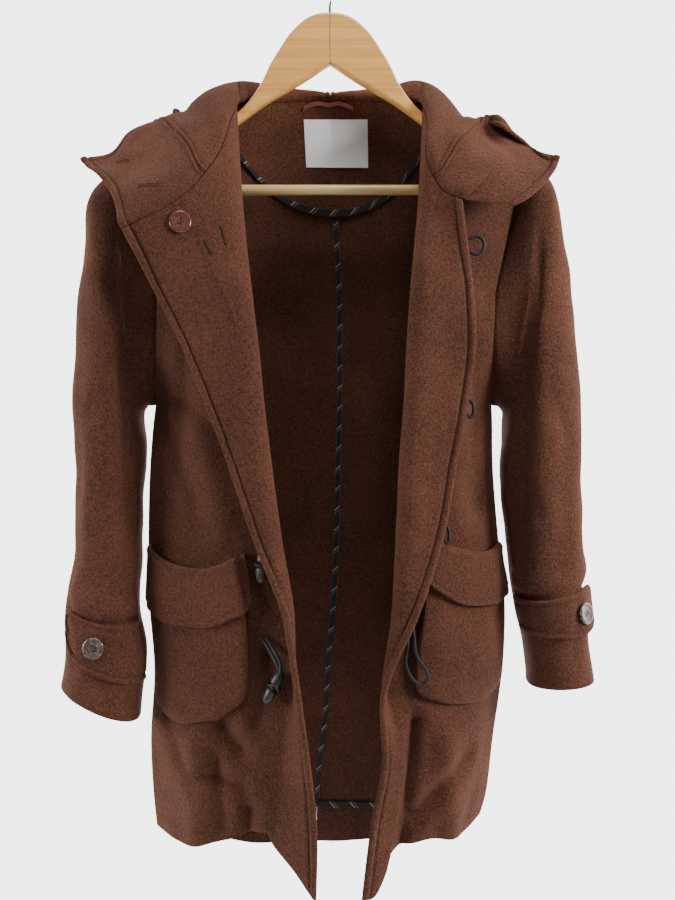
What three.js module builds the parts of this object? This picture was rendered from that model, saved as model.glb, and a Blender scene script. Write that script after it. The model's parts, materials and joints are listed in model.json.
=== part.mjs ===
// A wool duffle coat hanging open on a wooden hanger.
// Millimetres, +Z up. The origin is the inside top of the hanger's hook, where a rail holds it.
// The coat faces -Y. "Right" and "left" are the wearer's: right is -X and left is +X.
// Places in the tables are given as down (below the hook), out (away from the middle) and
// forward (towards the viewer), so that both halves of the coat read the same way.

import * as THREE from 'three';

// Driving sizes
const CLOTH = 2;            // thickness of the felted wool
const SEAM = 0.3;           // gap kept between two pieces
const BINDING_WIDTH = 8;    // bias binding
const BINDING = 0.8;        // thickness of the binding where it lies on the cloth
const THONG = 3.6;          // diameter of the leather thongs
const CORD_SIDES = 6;

const RIGHT = -1;
const LEFT = 1;

// Materials
const paint = (color, roughness, metalness = 0) =>
  new THREE.MeshStandardMaterial({ color, roughness, metalness });
const wool = paint(0x6b4237, 0.95);
const bindingTape = paint(0x1d2224, 0.7);
const leather = paint(0x1b1816, 0.5);
const horn = paint(0x2c211d, 0.35);
const buttonHorn = paint(0x4a3a36, 0.35);
const beech = paint(0xd6a262, 0.45);
const paleWood = paint(0xe2bf8e, 0.55);
const steel = paint(0xb9bcc0, 0.3, 1);
const satin = paint(0xe6e4e2, 0.6);
const ribbon = paint(0x7b3d44, 0.6);

const coat = new THREE.Group();

function add(name, geometry, material) {
  const mesh = new THREE.Mesh(geometry, material);
  mesh.name = name;
  coat.add(mesh);
}

// Places and mixtures

const place = (side, down, out, forward) => new THREE.Vector3(side * out, -forward, -down);
const mix = (a, b, k) => a + (b - a) * k;
const clamp = (v, low, high) => Math.min(high, Math.max(low, v));
const degrees = THREE.MathUtils.degToRad;

function curveThrough(points) {
  return new THREE.CatmullRomCurve3(points, false, 'centripetal');
}

// The point of a row of points at a fractional index.
function along(curve, index) {
  return curve.getPoint(clamp(index / (curve.points.length - 1), 0, 1));
}

// A surface across a set of guide lines. Each guide is a function of t, and the row at t is a
// smooth curve through the guides, so s counts guides.
function loft(guides) {
  const rows = new Map();
  return (s, t) => {
    if (!rows.has(t)) rows.set(t, curveThrough(guides.map((guide) => guide(t))));
    return along(rows.get(t), s);
  };
}

// Walls

const STEP = 0.02;   // step of s and t used to find a surface's normal

function normalOf(surface, s, t, sLimits, tLimits, turn) {
  const s0 = Math.max(s - STEP, sLimits[0]);
  const s1 = Math.min(s + STEP, sLimits[1]);
  const t0 = Math.max(t - STEP, tLimits[0]);
  const t1 = Math.min(t + STEP, tLimits[1]);
  const across = surface(s1, t).sub(surface(s0, t));
  const down = surface(s, t1).sub(surface(s, t0));
  return across.cross(down).multiplyScalar(turn).normalize();
}

function volumeOf(points, triangles) {
  let sum = 0;
  for (let k = 0; k < triangles.length; k += 3) {
    const [a, b, c] = [points[triangles[k]], points[triangles[k + 1]], points[triangles[k + 2]]];
    sum += a.dot(b.clone().cross(c));
  }
  return sum / 6;
}

function solidFrom(points, triangles) {
  if (volumeOf(points, triangles) < 0) {
    for (let k = 0; k < triangles.length; k += 3) {
      [triangles[k + 1], triangles[k + 2]] = [triangles[k + 2], triangles[k + 1]];
    }
  }
  const geometry = new THREE.BufferGeometry();
  geometry.setAttribute('position', new THREE.Float32BufferAttribute(points.flatMap((p) => p.toArray()), 3));
  geometry.setIndex(triangles);
  return geometry;
}

// A closed wall over a grid. near and far hold the two faces' points, columns by rows.
// A ring wall closes on itself across its columns.
function wallBetween(near, far, ring = false) {
  const columns = near.length;
  const rows = near[0].length;
  const points = [...near.flat(), ...far.flat()];
  const shift = columns * rows;
  const id = (i, j) => (i % columns) * rows + j;
  const triangles = [];
  const quad = (a, b, c, d) => triangles.push(a, b, c, a, c, d);
  const spans = ring ? columns : columns - 1;
  for (let i = 0; i < spans; i += 1) {
    for (let j = 0; j < rows - 1; j += 1) {
      quad(id(i, j), id(i + 1, j), id(i + 1, j + 1), id(i, j + 1));
      quad(shift + id(i, j), shift + id(i, j + 1), shift + id(i + 1, j + 1), shift + id(i + 1, j));
    }
    quad(id(i, 0), shift + id(i, 0), shift + id(i + 1, 0), id(i + 1, 0));
    quad(id(i, rows - 1), id(i + 1, rows - 1), shift + id(i + 1, rows - 1), shift + id(i, rows - 1));
  }
  if (!ring) {
    for (let j = 0; j < rows - 1; j += 1) {
      quad(id(0, j), id(0, j + 1), shift + id(0, j + 1), shift + id(0, j));
      const last = columns - 1;
      quad(id(last, j), shift + id(last, j), shift + id(last, j + 1), id(last, j + 1));
    }
  }
  return solidFrom(points, triangles);
}

// A wall that follows a panel: point(a, b) gives the surface's place and outward normal, and
// the wall lies between two distances from it, which may vary over the piece.
function panel(point, aValues, bValues, near, far, ring = false) {
  const distance = (d, a, b) => (typeof d === 'function' ? d(a, b) : d);
  const face = (d) => aValues.map((a) => bValues.map((b) => {
    const { at, normal } = point(a, b);
    return at.clone().addScaledVector(normal, distance(d, a, b));
  }));
  return wallBetween(face(near), face(far), ring);
}

const even = (from, to, count) =>
  Array.from({ length: count + 1 }, (_, k) => mix(from, to, k / count));

// Body of the coat
// The top edge of each half runs from the middle of the back neck over the hanger to the
// shoulder's tip, and in front from the tip to the neck and down the rolled neckline.

// How quickly each guide moves forward, or back, as it falls from the top edge: 0.45 rounds over
// the hanger at the shoulder, and 1 is a straight run at the neckline.
const BACK_EASE = [0.8, 0.75, 0.5, 0.45, 0.45];
const FRONT_EASE = [0.45, 0.45, 0.5, 0.8, 0.95, 1, 1, 1];

// columns: down, out, forward
const BACK_TOP = [
  [158, 0, -32],     // middle of the back neck
  [161, 62, -24],
  [173.5, 112, 0],   // neck point
  [210, 170, 0],
  [249, 225, 0],     // shoulder tip
];
const FRONT_TOP = {
  [RIGHT]: [
    [249, 225, 0],     // shoulder tip
    [220.5, 185, 0],
    [196.5, 150, 0],
    [173.5, 112, 0],   // neck point
    [206, 114, 32],    // start of the roll
    [252, 124, 57],
    [310, 163, 84],
    [345, 222, 95],    // corner of the lapel
  ],
  [LEFT]: [
    [249, 225, 0],
    [220.5, 185, 0],
    [196.5, 150, 0],
    [173.5, 112, 0],
    [206, 112, 30],
    [262, 110, 57],
    [296, 124, 71],
    [310, 144, 84],
  ],
};

// columns: down, side out (right, left), armhole forward, middle of the back (forward, out)
const BODY = [
  { down: 400, side: { [RIGHT]: 196, [LEFT]: 188 }, armhole: 38, back: -57, seam: 12 },
  { down: 465, side: { [RIGHT]: 198, [LEFT]: 186 }, armhole: 33, back: -58, seam: 12 },
  { down: 527, side: { [RIGHT]: 205, [LEFT]: 190 }, armhole: 0, back: -58, seam: 12 },
  { down: 600, side: { [RIGHT]: 211, [LEFT]: 191 }, armhole: 0, back: -58, seam: 10 },
  { down: 680, side: { [RIGHT]: 213, [LEFT]: 197 }, armhole: 0, back: -58, seam: 8 },
  { down: 760, side: { [RIGHT]: 212, [LEFT]: 205 }, armhole: 0, back: -59, seam: 5 },
  { down: 840, side: { [RIGHT]: 206, [LEFT]: 202 }, armhole: 0, back: -60, seam: -2 },
  { down: 920, side: { [RIGHT]: 210, [LEFT]: 191 }, armhole: 0, back: -60, seam: -7 },
  { down: 985, side: { [RIGHT]: 207, [LEFT]: 183 }, armhole: 0, back: -58, seam: -15 },
  { down: 1030, side: { [RIGHT]: 203, [LEFT]: 176 }, armhole: 0, back: -56, seam: -18 },
];
const UNDERARM = 3;                 // t of the underarm
const HEM = BODY.length;            // t of the hem

// The front edge is a strip that turns forward on a roll and lies back on the chest.
// inner is the innermost reach, start the forward place where the roll begins, turn is the
// angle in degrees and strip the width beyond the roll.
const ROLL = {
  [RIGHT]: [
    { inner: 87, start: 66, radius: 11, turn: 188, strip: 97 },
    { inner: 79, start: 66, radius: 11, turn: 190, strip: 72 },
    { inner: 73, start: 66, radius: 11, turn: 190, strip: 52 },
    { inner: 64, start: 66, radius: 11, turn: 190, strip: 33 },
    { inner: 53, start: 68, radius: 11, turn: 184, strip: 17 },
    { inner: 39.5, start: 72, radius: 11, turn: 140, strip: 8 },
    { inner: 32.5, start: 74, radius: 12, turn: 78, strip: 24 },
    { inner: 20, start: 74, radius: 14, turn: 48, strip: 38 },
    { inner: 13, start: 72, radius: 16, turn: 34, strip: 48 },
    { inner: 14, start: 70, radius: 16, turn: 28, strip: 52 },
  ],
  [LEFT]: [
    { inner: 90.5, start: 66, radius: 11, turn: 186, strip: 54 },
    { inner: 86, start: 66, radius: 11, turn: 186, strip: 62 },
    { inner: 83, start: 66, radius: 11, turn: 188, strip: 57 },
    { inner: 77.5, start: 66, radius: 11, turn: 190, strip: 49 },
    { inner: 74, start: 66, radius: 11, turn: 188, strip: 37 },
    { inner: 69.5, start: 68, radius: 11, turn: 170, strip: 18 },
    { inner: 58.5, start: 72, radius: 12, turn: 92, strip: 16 },
    { inner: 57, start: 74, radius: 13, turn: 42, strip: 24 },
    { inner: 45, start: 74, radius: 13, turn: 32, strip: 26 },
    { inner: 35, start: 74, radius: 13, turn: 26, strip: 28 },
  ],
};

// How far each guide of the hem hangs below the last row of the table.
const BACK_HEM_DROP = { [RIGHT]: [40, 37, 28, 12, -6], [LEFT]: [40, 34, 20, 0, -20] };
const FRONT_HEM_DROP = {
  [RIGHT]: [-6, -3, -16, -28, -20, -14, 8, 35],
  [LEFT]: [-20, -14, -20, -8, 4, 14, 36, 36],
};

// Folds of the body: a trough or ridge along a line, pushed forward by depth.
// columns: from (down, out), to (down, out), depth, width
const FRONT_FOLDS = {
  [RIGHT]: [
    { from: [420, 150], to: [640, 182], depth: -5, width: 16 },
    { from: [560, 150], to: [670, 120], depth: 4, width: 18 },
    { from: [884, 112], to: [925, 106], depth: -7, width: 13 },
    { from: [955, 96], to: [946, 140], depth: -6, width: 12 },
    { from: [905, 150], to: [1030, 150], depth: 6, width: 20 },
    { from: [980, 88], to: [1030, 92], depth: -8, width: 14 },
    { from: [800, 66], to: [880, 78], depth: -5, width: 12 },
  ],
  [LEFT]: [
    { from: [430, 165], to: [640, 160], depth: -5, width: 15 },
    { from: [560, 128], to: [668, 150], depth: 4, width: 16 },
    { from: [935, 150], to: [992, 98], depth: -8, width: 14 },
    { from: [900, 130], to: [1030, 140], depth: 6, width: 18 },
    { from: [880, 92], to: [1040, 74], depth: -9, width: 9 },
  ],
};
// columns: from (down, x), to (down, x), depth, width
const BACK_FOLDS = [
  { from: [430, 130], to: [760, 120], depth: -5, width: 22 },
  { from: [450, -135], to: [700, -110], depth: -5, width: 22 },
  { from: [760, -70], to: [1070, -95], depth: 7, width: 26 },
  { from: [800, 60], to: [1070, 80], depth: 7, width: 26 },
  { from: [840, 0], to: [1070, -20], depth: -6, width: 24 },
];

function foldPush(folds, down, out) {
  return folds.reduce((push, { from, to, depth, width }) => {
    const run = [to[0] - from[0], to[1] - from[1]];
    const reach = Math.hypot(...run);
    const along01 = ((down - from[0]) * run[0] + (out - from[1]) * run[1]) / reach ** 2;
    const k = clamp(along01, 0, 1);
    const off = Math.hypot(down - from[0] - k * run[0], out - from[1] - k * run[1]);
    return push + depth * Math.exp(-((off / width) ** 2));
  }, 0);
}

// Guide lines of one half. The first stretch of t, from 0 to 1, falls from the top edge to the
// first row of the table: straight in down and out, and like a power in forward.
function guideLine(top, rows, ease) {
  const curve = curveThrough(rows);
  return (t) => {
    if (t >= 1) return along(curve, t - 1);
    const base = rows[0];
    return new THREE.Vector3(
      mix(top.x, base.x, t),
      mix(top.y, base.y, t ** ease),
      mix(top.z, base.z, t),
    );
  };
}

// The rows of a front, from the side seam to the front edge.
function frontRow(side, k) {
  const { down, side: sides, armhole } = BODY[k];
  const { inner, start, radius, turn, strip } = ROLL[side][k];
  const angle = degrees(turn);
  const reach = turn >= 90 ? radius : radius * Math.sin(angle) + strip * Math.cos(angle);
  const centreOut = inner + reach;
  const centreForward = start + radius;
  const onRoll = (a) => [centreOut - radius * Math.sin(a), centreForward - radius * Math.cos(a)];
  const end = onRoll(angle);
  const beyond = (d) => [end[0] - d * Math.cos(angle), end[1] + d * Math.sin(angle)];
  const sideOut = sides[side];
  const chest = (k01) => [
    mix(sideOut, centreOut, k01),
    mix(armhole, start, Math.sin(k01 * Math.PI / 2) ** 0.7),
  ];
  const stops = [
    [sideOut, armhole], chest(0.28), chest(0.64), [centreOut, start],
    onRoll(angle / 2), end, beyond(strip / 2), beyond(strip),
  ];
  const drop = k === BODY.length - 1 ? FRONT_HEM_DROP[side] : stops.map(() => 0);
  return stops.map(([out, forward], guide) => place(side, down + drop[guide], out, forward));
}

function makeFront(side) {
  const rows = BODY.map((_, k) => frontRow(side, k));
  const guides = FRONT_TOP[side].map(([down, out, forward], guide) =>
    guideLine(place(side, down, out, forward), rows.map((row) => row[guide]), FRONT_EASE[guide]));
  const smooth = loft(guides);
  return (s, t) => {
    const p = smooth(s, t);
    const fade = clamp(s, 0, 1) * clamp(4 - s, 0, 1) * clamp(t - 1, 0, 1);
    p.y -= fade * foldPush(FRONT_FOLDS[side], -p.z, side * p.x);
    return p;
  };
}

function backRow(side, k) {
  const { down, side: sides, armhole, back, seam } = BODY[k];
  const sideOut = sides[side];
  const centreOut = side * seam;
  const drop = k === BODY.length - 1 ? BACK_HEM_DROP[side] : [0, 0, 0, 0, 0];
  return [0, 0.3, 0.58, 0.82, 1].map((k01, guide) => {
    const out = mix(centreOut, sideOut, k01);
    const forward = mix(-armhole, back, Math.cos(k01 * Math.PI / 2) ** 0.6);
    return place(side, down + drop[guide], out, forward);
  });
}

function makeBack(side) {
  const rows = BODY.map((_, k) => backRow(side, k));
  const guides = BACK_TOP.map(([down, out, forward], guide) =>
    guideLine(place(side, down, out, forward), rows.map((row) => row[guide]), BACK_EASE[guide]));
  const smooth = loft(guides);
  return (s, t) => {
    const p = smooth(s, t);
    const fade = clamp(4 - s, 0, 1) * clamp(t - 1, 0, 1);
    p.y -= fade * foldPush(BACK_FOLDS, -p.z, p.x);
    return p;
  };
}

const fronts = { [RIGHT]: makeFront(RIGHT), [LEFT]: makeFront(LEFT) };
const backs = { [RIGHT]: makeBack(RIGHT), [LEFT]: makeBack(LEFT) };
const BACK_GUIDES = BACK_TOP.length - 1;
const FRONT_GUIDES = FRONT_TOP[RIGHT].length - 1;

// The whole back: q runs from -4 at the right side seam over 0 at the centre to 4 at the left.
const back = (q, t) => backs[q < 0 ? RIGHT : LEFT](Math.abs(q), t);

// Seams of the body. A seam gives both pieces one normal, so that their edges stay parallel.

// Share of the way round the armhole from the shoulder's tip to the underarm, by length.
function armholeShares(edge, steps) {
  const marks = [0];
  for (let k = 1; k < steps.length; k += 1) {
    marks.push(marks[k - 1] + edge(steps[k]).distanceTo(edge(steps[k - 1])));
  }
  return marks.map((mark) => mark / marks[marks.length - 1]);
}

const ARM_STEPS = [0, 0.02, 0.09, 0.28, 0.6, 1, 1.5, 2, 2.5, UNDERARM];

function armholeNormal(side, facing, share) {
  const angle = share * Math.PI;
  return new THREE.Vector3(
    side * (0.6 * Math.abs(Math.cos(angle)) + 0.1),
    -facing * Math.sin(angle),
    Math.cos(angle),
  ).normalize();
}

const shares = {};
[RIGHT, LEFT].forEach((side) => {
  shares[side] = {
    1: armholeShares((t) => fronts[side](0, t), ARM_STEPS),
    [-1]: armholeShares((t) => backs[side](BACK_GUIDES, t), ARM_STEPS),
  };
});

function shareAt(side, facing, t) {
  const list = shares[side][facing];
  const k = clamp(ARM_STEPS.findIndex((step) => step >= t), 1, ARM_STEPS.length - 1);
  return mix(list[k - 1], list[k], (t - ARM_STEPS[k - 1]) / (ARM_STEPS[k] - ARM_STEPS[k - 1]));
}

// The edge of a body panel beside the sleeve or at the side seam, pulled back by half a gap.
function sideEdge(side, facing, t) {
  const surface = facing > 0 ? (v) => fronts[side](0, v) : (v) => backs[side](BACK_GUIDES, v);
  const at = surface(t);
  if (t > UNDERARM) {
    return { at: at.setY(-facing * SEAM / 2), normal: new THREE.Vector3(side, 0, 0) };
  }
  const share = shareAt(side, facing, t);
  const normal = armholeNormal(side, facing, share);
  const run = surface(Math.min(t + STEP, UNDERARM)).sub(surface(Math.max(t - STEP, 0)));
  const inward = run.cross(normal).normalize();
  if (inward.x * side > 0) inward.negate();
  return { at: at.addScaledVector(inward, SEAM / 2), normal, inward };
}

const shoulderNormal = (side) => new THREE.Vector3(side * 0.6, 0, 1).normalize();

function bodyPoint(side, facing, s, t) {
  const surface = facing > 0 ? fronts[side] : backs[side];
  const guides = facing > 0 ? FRONT_GUIDES : BACK_GUIDES;
  const atSide = facing > 0 ? s === 0 : s === BACK_GUIDES;
  if (atSide) {
    const { at, normal } = sideEdge(side, facing, t);
    return { at, normal };
  }
  const at = surface(s, t);
  const normal = normalOf(surface, s, t, [0, guides], [0, HEM], side);
  const onShoulder = facing > 0 ? s <= 3 : s >= 2;
  if (t === 0 && onShoulder) {
    normal.copy(shoulderNormal(side));
    at.setY(-facing * SEAM / 2);
  }
  if (facing < 0 && s < 0.001) normal.setX(0).normalize();
  return { at, normal };
}

// The body's panels are grids of such points. Whatever lies on a panel takes its place from the
// same grid, so that it follows the panel's faces at one distance.
const ROWS = [...ARM_STEPS, 3.7, 4.4, 5, 5.6, 6.2, 6.8, 7.4, 8, 8.6, 9.3, HEM];
const FRONT_COLUMNS = [0, 0.45, 0.95, 1.5, 2.05, 2.6, 3, 3.35, 3.7, 4, 4.3, 4.65, 5, 5.4, 5.9, 6.45, 7];
const HALF_BACK = [0.5, 1, 1.5, 2, 2.5, 3, 3.5, 4];
const BACK_COLUMNS = [...HALF_BACK.map((q) => -q).reverse(), 0, ...HALF_BACK];

function gridOf(point, columns, rows) {
  const cells = columns.map((s) => rows.map((t) => point(s, t)));
  const bracket = (lines, v) => {
    const k = clamp(lines.findIndex((line) => line >= v), 1, lines.length - 1);
    return [k - 1, clamp((v - lines[k - 1]) / (lines[k] - lines[k - 1]), 0, 1)];
  };
  return (s, t) => {
    const [i, u] = bracket(columns, s);
    const [j, v] = bracket(rows, t);
    const blend = (key) => {
      const near = cells[i][j][key].clone().lerp(cells[i][j + 1][key], v);
      const far = cells[i + 1][j][key].clone().lerp(cells[i + 1][j + 1][key], v);
      return near.lerp(far, u);
    };
    return { at: blend('at'), normal: blend('normal') };
  };
}

// Grid lines of a piece: its own two edges and the panel's lines between them.
const linesBetween = (lines, from, to) =>
  [from, ...lines.filter((line) => line > from + 0.012 && line < to - 0.012), to];

const frontGrid = {};
[RIGHT, LEFT].forEach((side) => {
  frontGrid[side] = gridOf((s, t) => bodyPoint(side, 1, s, t), FRONT_COLUMNS, ROWS);
});
// The back is one sheet, with q as above.
const backGrid = gridOf(
  (q, t) => bodyPoint(q < 0 ? RIGHT : LEFT, -1, Math.abs(q), t), BACK_COLUMNS, ROWS);

const SKIN = SEAM / 2;                   // the outer cloth starts this far outside the surface
const OVER = SKIN + CLOTH + SEAM;        // start of a piece laid on the outside
const FACING = -(SKIN + CLOTH);          // far side of a facing inside the coat
const INSIDE = FACING - SEAM;            // start of a piece laid on a facing
const UNDER = SKIN - SEAM;               // start of a piece laid on the inside of the cloth
const SLACK = 0.4;                       // more room where a piece's edge crosses a panel's faces
const unit = (count) => even(0, 1, count);

[RIGHT, LEFT].forEach((side) => {
  const name = side === RIGHT ? 'right' : 'left';
  add(`front_${name}`, panel(frontGrid[side], FRONT_COLUMNS, ROWS, SKIN, SKIN + CLOTH), wool);
  const halfBack = (q, t) => {
    const found = backGrid(q, t);
    if (q === 0) found.at.x += side * SEAM / 2;
    return found;
  };
  const columns = BACK_COLUMNS.filter((q) => q * side >= 0);
  add(`back_${name}`, panel(halfBack, columns, ROWS, SKIN, SKIN + CLOTH), wool);
});

// Facings of the fronts, from the neck point and the start of the roll to the front edge.
const FACING_FROM = 3;
// The facing is thinned in the tight bend at the neck point.
const facingFar = (s, t) => mix(-0.55, FACING, clamp(Math.max((s - 3.6) / 1.2, t / 0.3), 0, 1));
[RIGHT, LEFT].forEach((side) => {
  const name = side === RIGHT ? 'right' : 'left';
  const columns = FRONT_COLUMNS.filter((s) => s >= FACING_FROM);
  add(`front_facing_${name}`, panel(frontGrid[side], columns, ROWS, -SKIN, facingFar), wool);
  add(`facing_binding_${name}`,
    panel(frontGrid[side], [FACING_FROM, FACING_FROM + 0.35], ROWS.slice(4), INSIDE, INSIDE - BINDING),
    bindingTape);
});

// Back neck facing: a moon under the neck, ending on the shoulder seams.
const MOON_REACH = 2.5;      // reach in q to each side
const moonEdge = (q) => 0.3 + 0.26 * Math.sqrt(1 - (q / MOON_REACH) ** 2);
const moonLines = BACK_COLUMNS.filter((q) => Math.abs(q) <= MOON_REACH);
const moonPoint = (q, b) => backGrid(q, b > 0.28 ? mix(0.28, moonEdge(q), (b - 0.28) / 0.72) : b);
add('back_neck_facing', panel(moonPoint, moonLines, [0, 0.02, 0.09, 0.28, 1],
  UNDER - SLACK, UNDER - SLACK - CLOTH), wool);
const MOON_FACE = UNDER - SLACK - CLOTH - SEAM;
const moonBand = (q, b) => backGrid(q, moonEdge(q) - 0.003 - b * 0.033);
add('neck_facing_binding', panel(moonBand, linesBetween(BACK_COLUMNS, -2.2, 2.2), unit(1),
  MOON_FACE, MOON_FACE - BINDING), bindingTape);

// Bound centre back seam, from under the facing to the hem.
const centreStrip = (a, t) => {
  const { at, normal } = backGrid(0, t);
  return { at: at.setX(at.x + a * BINDING_WIDTH / 2), normal };
};
add('center_back_binding', panel(centreStrip, [-1, 0, 1], linesBetween(ROWS, 0.57, 9.4),
  UNDER - 2 * SLACK, UNDER - 2 * SLACK - 2 * BINDING), bindingTape);

// Bound edge of the turned back hem, on each side of the centre seam's band.
const hemBand = (q, b) => backGrid(q, 9.43 + b * 0.09);
add('back_hem_binding', panel(hemBand, linesBetween(BACK_COLUMNS, -3.6, 3.6), unit(1),
  UNDER - 2 * SLACK, UNDER - 2 * SLACK - BINDING), bindingTape);

// Yoke on the outside of the back.
const YOKE_DEPTH = 0.81;
add('back_yoke', panel(backGrid, linesBetween(BACK_COLUMNS, -3.95, 3.95),
  linesBetween(ROWS, 0.006, YOKE_DEPTH), OVER + SLACK, OVER + SLACK + CLOTH), wool);

// Blank label on the neck facing.
const LABEL = { from: -0.53, to: 0.72, top: 0.083, bottom: 0.315 };
const LABEL_FACE = MOON_FACE - 0.5;
add('label', panel(backGrid, linesBetween(BACK_COLUMNS, LABEL.from, LABEL.to),
  linesBetween(ROWS, LABEL.top, LABEL.bottom), MOON_FACE, LABEL_FACE), satin);

// Pockets. The patch and its flap wrap from near the side seam towards the front.
// from and to give the reach in s, top and bottom the edges in t, read across the piece.
const POCKET = {
  [RIGHT]: {
    patch: { from: 0.16, to: 2.28, top: [5.62, 5.62], bottom: [7.42, 7.62, 7.52, 7.2] },
    flap: { from: 0.12, to: 2.4, top: [5.12, 5.34, 5.4, 5.18], bottom: [6.05, 6.2, 6.2, 5.95] },
  },
  [LEFT]: {
    patch: { from: 0.16, to: 2.5, top: [5.45, 5.45], bottom: [7.15, 7.3, 7.28, 7.1] },
    flap: { from: 0.12, to: 2.42, top: [5.08, 5.2, 5.12, 5.0], bottom: [5.85, 5.95, 5.9, 5.6] },
  },
};
const PATCH = OVER + 2 * SLACK;          // start of a pocket's patch
const edgeAt = (list, k) =>
  along(curveThrough(list.map((v, place01) => new THREE.Vector3(place01, v, 0))), k * (list.length - 1)).y;

[RIGHT, LEFT].forEach((side) => {
  const name = side === RIGHT ? 'right' : 'left';
  const { patch, flap } = POCKET[side];
  const reach = (piece, s) => (s - piece.from) / (piece.to - piece.from);
  const onPiece = (piece) => (s, b) => {
    const k = reach(piece, s);
    return frontGrid[side](s, mix(edgeAt(piece.top, k), edgeAt(piece.bottom, k), b));
  };
  const patchLines = linesBetween(FRONT_COLUMNS, patch.from, patch.to);
  add(`pocket_${name}`, panel(onPiece(patch), patchLines, unit(7), PATCH, PATCH + CLOTH), wool);
  const flapLines = linesBetween(FRONT_COLUMNS, flap.from, flap.to);
  const lift = (s, b) => OVER + 2 * SLACK + (CLOTH + 2 * SEAM) * clamp(b / 0.12, 0, 1) + 2.5 * b * b;
  add(`pocket_flap_${name}`, panel(onPiece(flap), flapLines, [0, 0.12, 0.35, 0.6, 0.8, 1],
    lift, (s, b) => lift(s, b) + CLOTH), wool);
});

// Sleeves. The first ring is the armhole, and each row below is a tilted ring from an outer
// point to an inner one, with its half depth and the forward place of its middle.
// columns: outer (down, out), inner (down, out), half depth, forward
const SLEEVE = {
  [RIGHT]: [
    [255, 244, 529, 215, 42, 2],
    [264, 262, 537, 220, 45, 3],
    [283, 276, 552, 221, 47, 4],
    [345, 284, 572, 219, 48, 5],
    [430, 293, 594, 219, 47, 6],
    [520, 297, 624, 221, 46, 7],
    [612, 295, 662, 225, 44, 8],
    [690, 293, 712, 226, 43, 10],
    [756, 302, 762, 226, 43, 12],
    [806, 304, 818, 217, 44, 14],
    [853, 308, 892, 223, 45, 14],
  ],
  [LEFT]: [
    [255, 241, 529, 200, 42, 2],
    [266, 255, 537, 206, 45, 3],
    [288, 263, 552, 207, 47, 4],
    [346, 272, 574, 206, 48, 5],
    [428, 283, 596, 205, 47, 6],
    [522, 289, 634, 204, 46, 7],
    [600, 289, 680, 207, 45, 8],
    [664, 290, 720, 213, 44, 9],
    [734, 292, 764, 219, 44, 10],
    [792, 299, 806, 227, 44, 12],
    [846, 303, 852, 232, 44, 12],
  ],
};
// Long folds of the sleeves: angle round the sleeve in degrees (0 is the outer line and 90 the
// front), first and last ring, depth and width in degrees. A ring of 0 is the armhole.
const SLEEVE_FOLDS = {
  [RIGHT]: [
    { angle: [118, 150], rings: [1.5, 8], depth: -10, width: 20 },
    { angle: [52, 40], rings: [4, 9], depth: -4, width: 22 },
    { angle: [235, 222], rings: [2, 7], depth: -7, width: 22 },
    { angle: [290, 300], rings: [5, 10], depth: -4, width: 24 },
  ],
  [LEFT]: [
    { angle: [112, 146], rings: [1.5, 8], depth: -9, width: 20 },
    { angle: [60, 75], rings: [5, 9], depth: -4, width: 22 },
    { angle: [240, 218], rings: [2, 7], depth: -7, width: 22 },
    { angle: [300, 290], rings: [5, 10], depth: -4, width: 24 },
  ],
};
const SLEEVE_RINGS = SLEEVE[RIGHT].length;

function sleeveFold(side, angle, ring) {
  return SLEEVE_FOLDS[side].reduce((push, fold) => {
    const k = (ring - fold.rings[0]) / (fold.rings[1] - fold.rings[0]);
    if (k <= 0 || k >= 1) return push;
    const off = (angle - mix(fold.angle[0], fold.angle[1], k)) / fold.width;
    return push + fold.depth * Math.sin(k * Math.PI) ** 0.6 * Math.exp(-off * off);
  }, 0);
}

// The armhole by angle: 0 at the shoulder's tip, 180 at the underarm, front first.
function armholePoint(side, anyAngle) {
  const angle = (anyAngle + 360) % 360;
  const facing = angle <= 180 ? 1 : -1;
  const share = (facing > 0 ? angle : 360 - angle) / 180;
  const list = shares[side][facing];
  let k = list.findIndex((v) => v >= share - 1e-9);
  k = clamp(k, 1, list.length - 1);
  const t = mix(ARM_STEPS[k - 1], ARM_STEPS[k], (share - list[k - 1]) / (list[k] - list[k - 1]));
  const { at, normal, inward } = sideEdge(side, facing, t);
  return { at: at.addScaledVector(inward, -2 * SEAM), normal };
}

function sleevePlace(side, angle, ring) {
  const a = degrees(angle);
  const guide = SLEEVE[side].map(([outerDown, outerOut, innerDown, innerOut, half, forward]) => place(
    side,
    mix(innerDown, outerDown, (1 + Math.cos(a)) / 2),
    mix(innerOut, outerOut, (1 + Math.cos(a)) / 2),
    forward + half * Math.sign(Math.sin(a)) * Math.abs(Math.sin(a)) ** 0.85,
  ));
  return along(curveThrough([armholePoint(side, angle).at, ...guide]), ring);
}

function sleevePoint(side) {
  const found = new Map();
  return (angle, ring) => {
    const key = `${angle} ${ring}`;
    if (found.has(key)) return found.get(key);
    let result = armholePoint(side, angle);
    if (ring > 0) {
      const across = sleevePlace(side, angle + 2, ring).sub(sleevePlace(side, angle - 2, ring));
      const low = Math.min(ring + STEP, SLEEVE_RINGS);
      const down = sleevePlace(side, angle, low).sub(sleevePlace(side, angle, ring - STEP));
      const normal = across.cross(down).normalize().multiplyScalar(side);
      const at = sleevePlace(side, angle, ring).addScaledVector(normal, sleeveFold(side, angle, ring));
      result = { at, normal };
    }
    found.set(key, result);
    return result;
  };
}

const sleeves = { [RIGHT]: sleevePoint(RIGHT), [LEFT]: sleevePoint(LEFT) };
const SLEEVE_ANGLES = even(0, 337.5, 15);
const SLEEVE_ROWS = [0, 1, 2, 3, 4, 4.7, 5.3, 6, 6.7, 7.3, 8, 8.6, 9.2, 9.8, 10.4, SLEEVE_RINGS];

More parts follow.
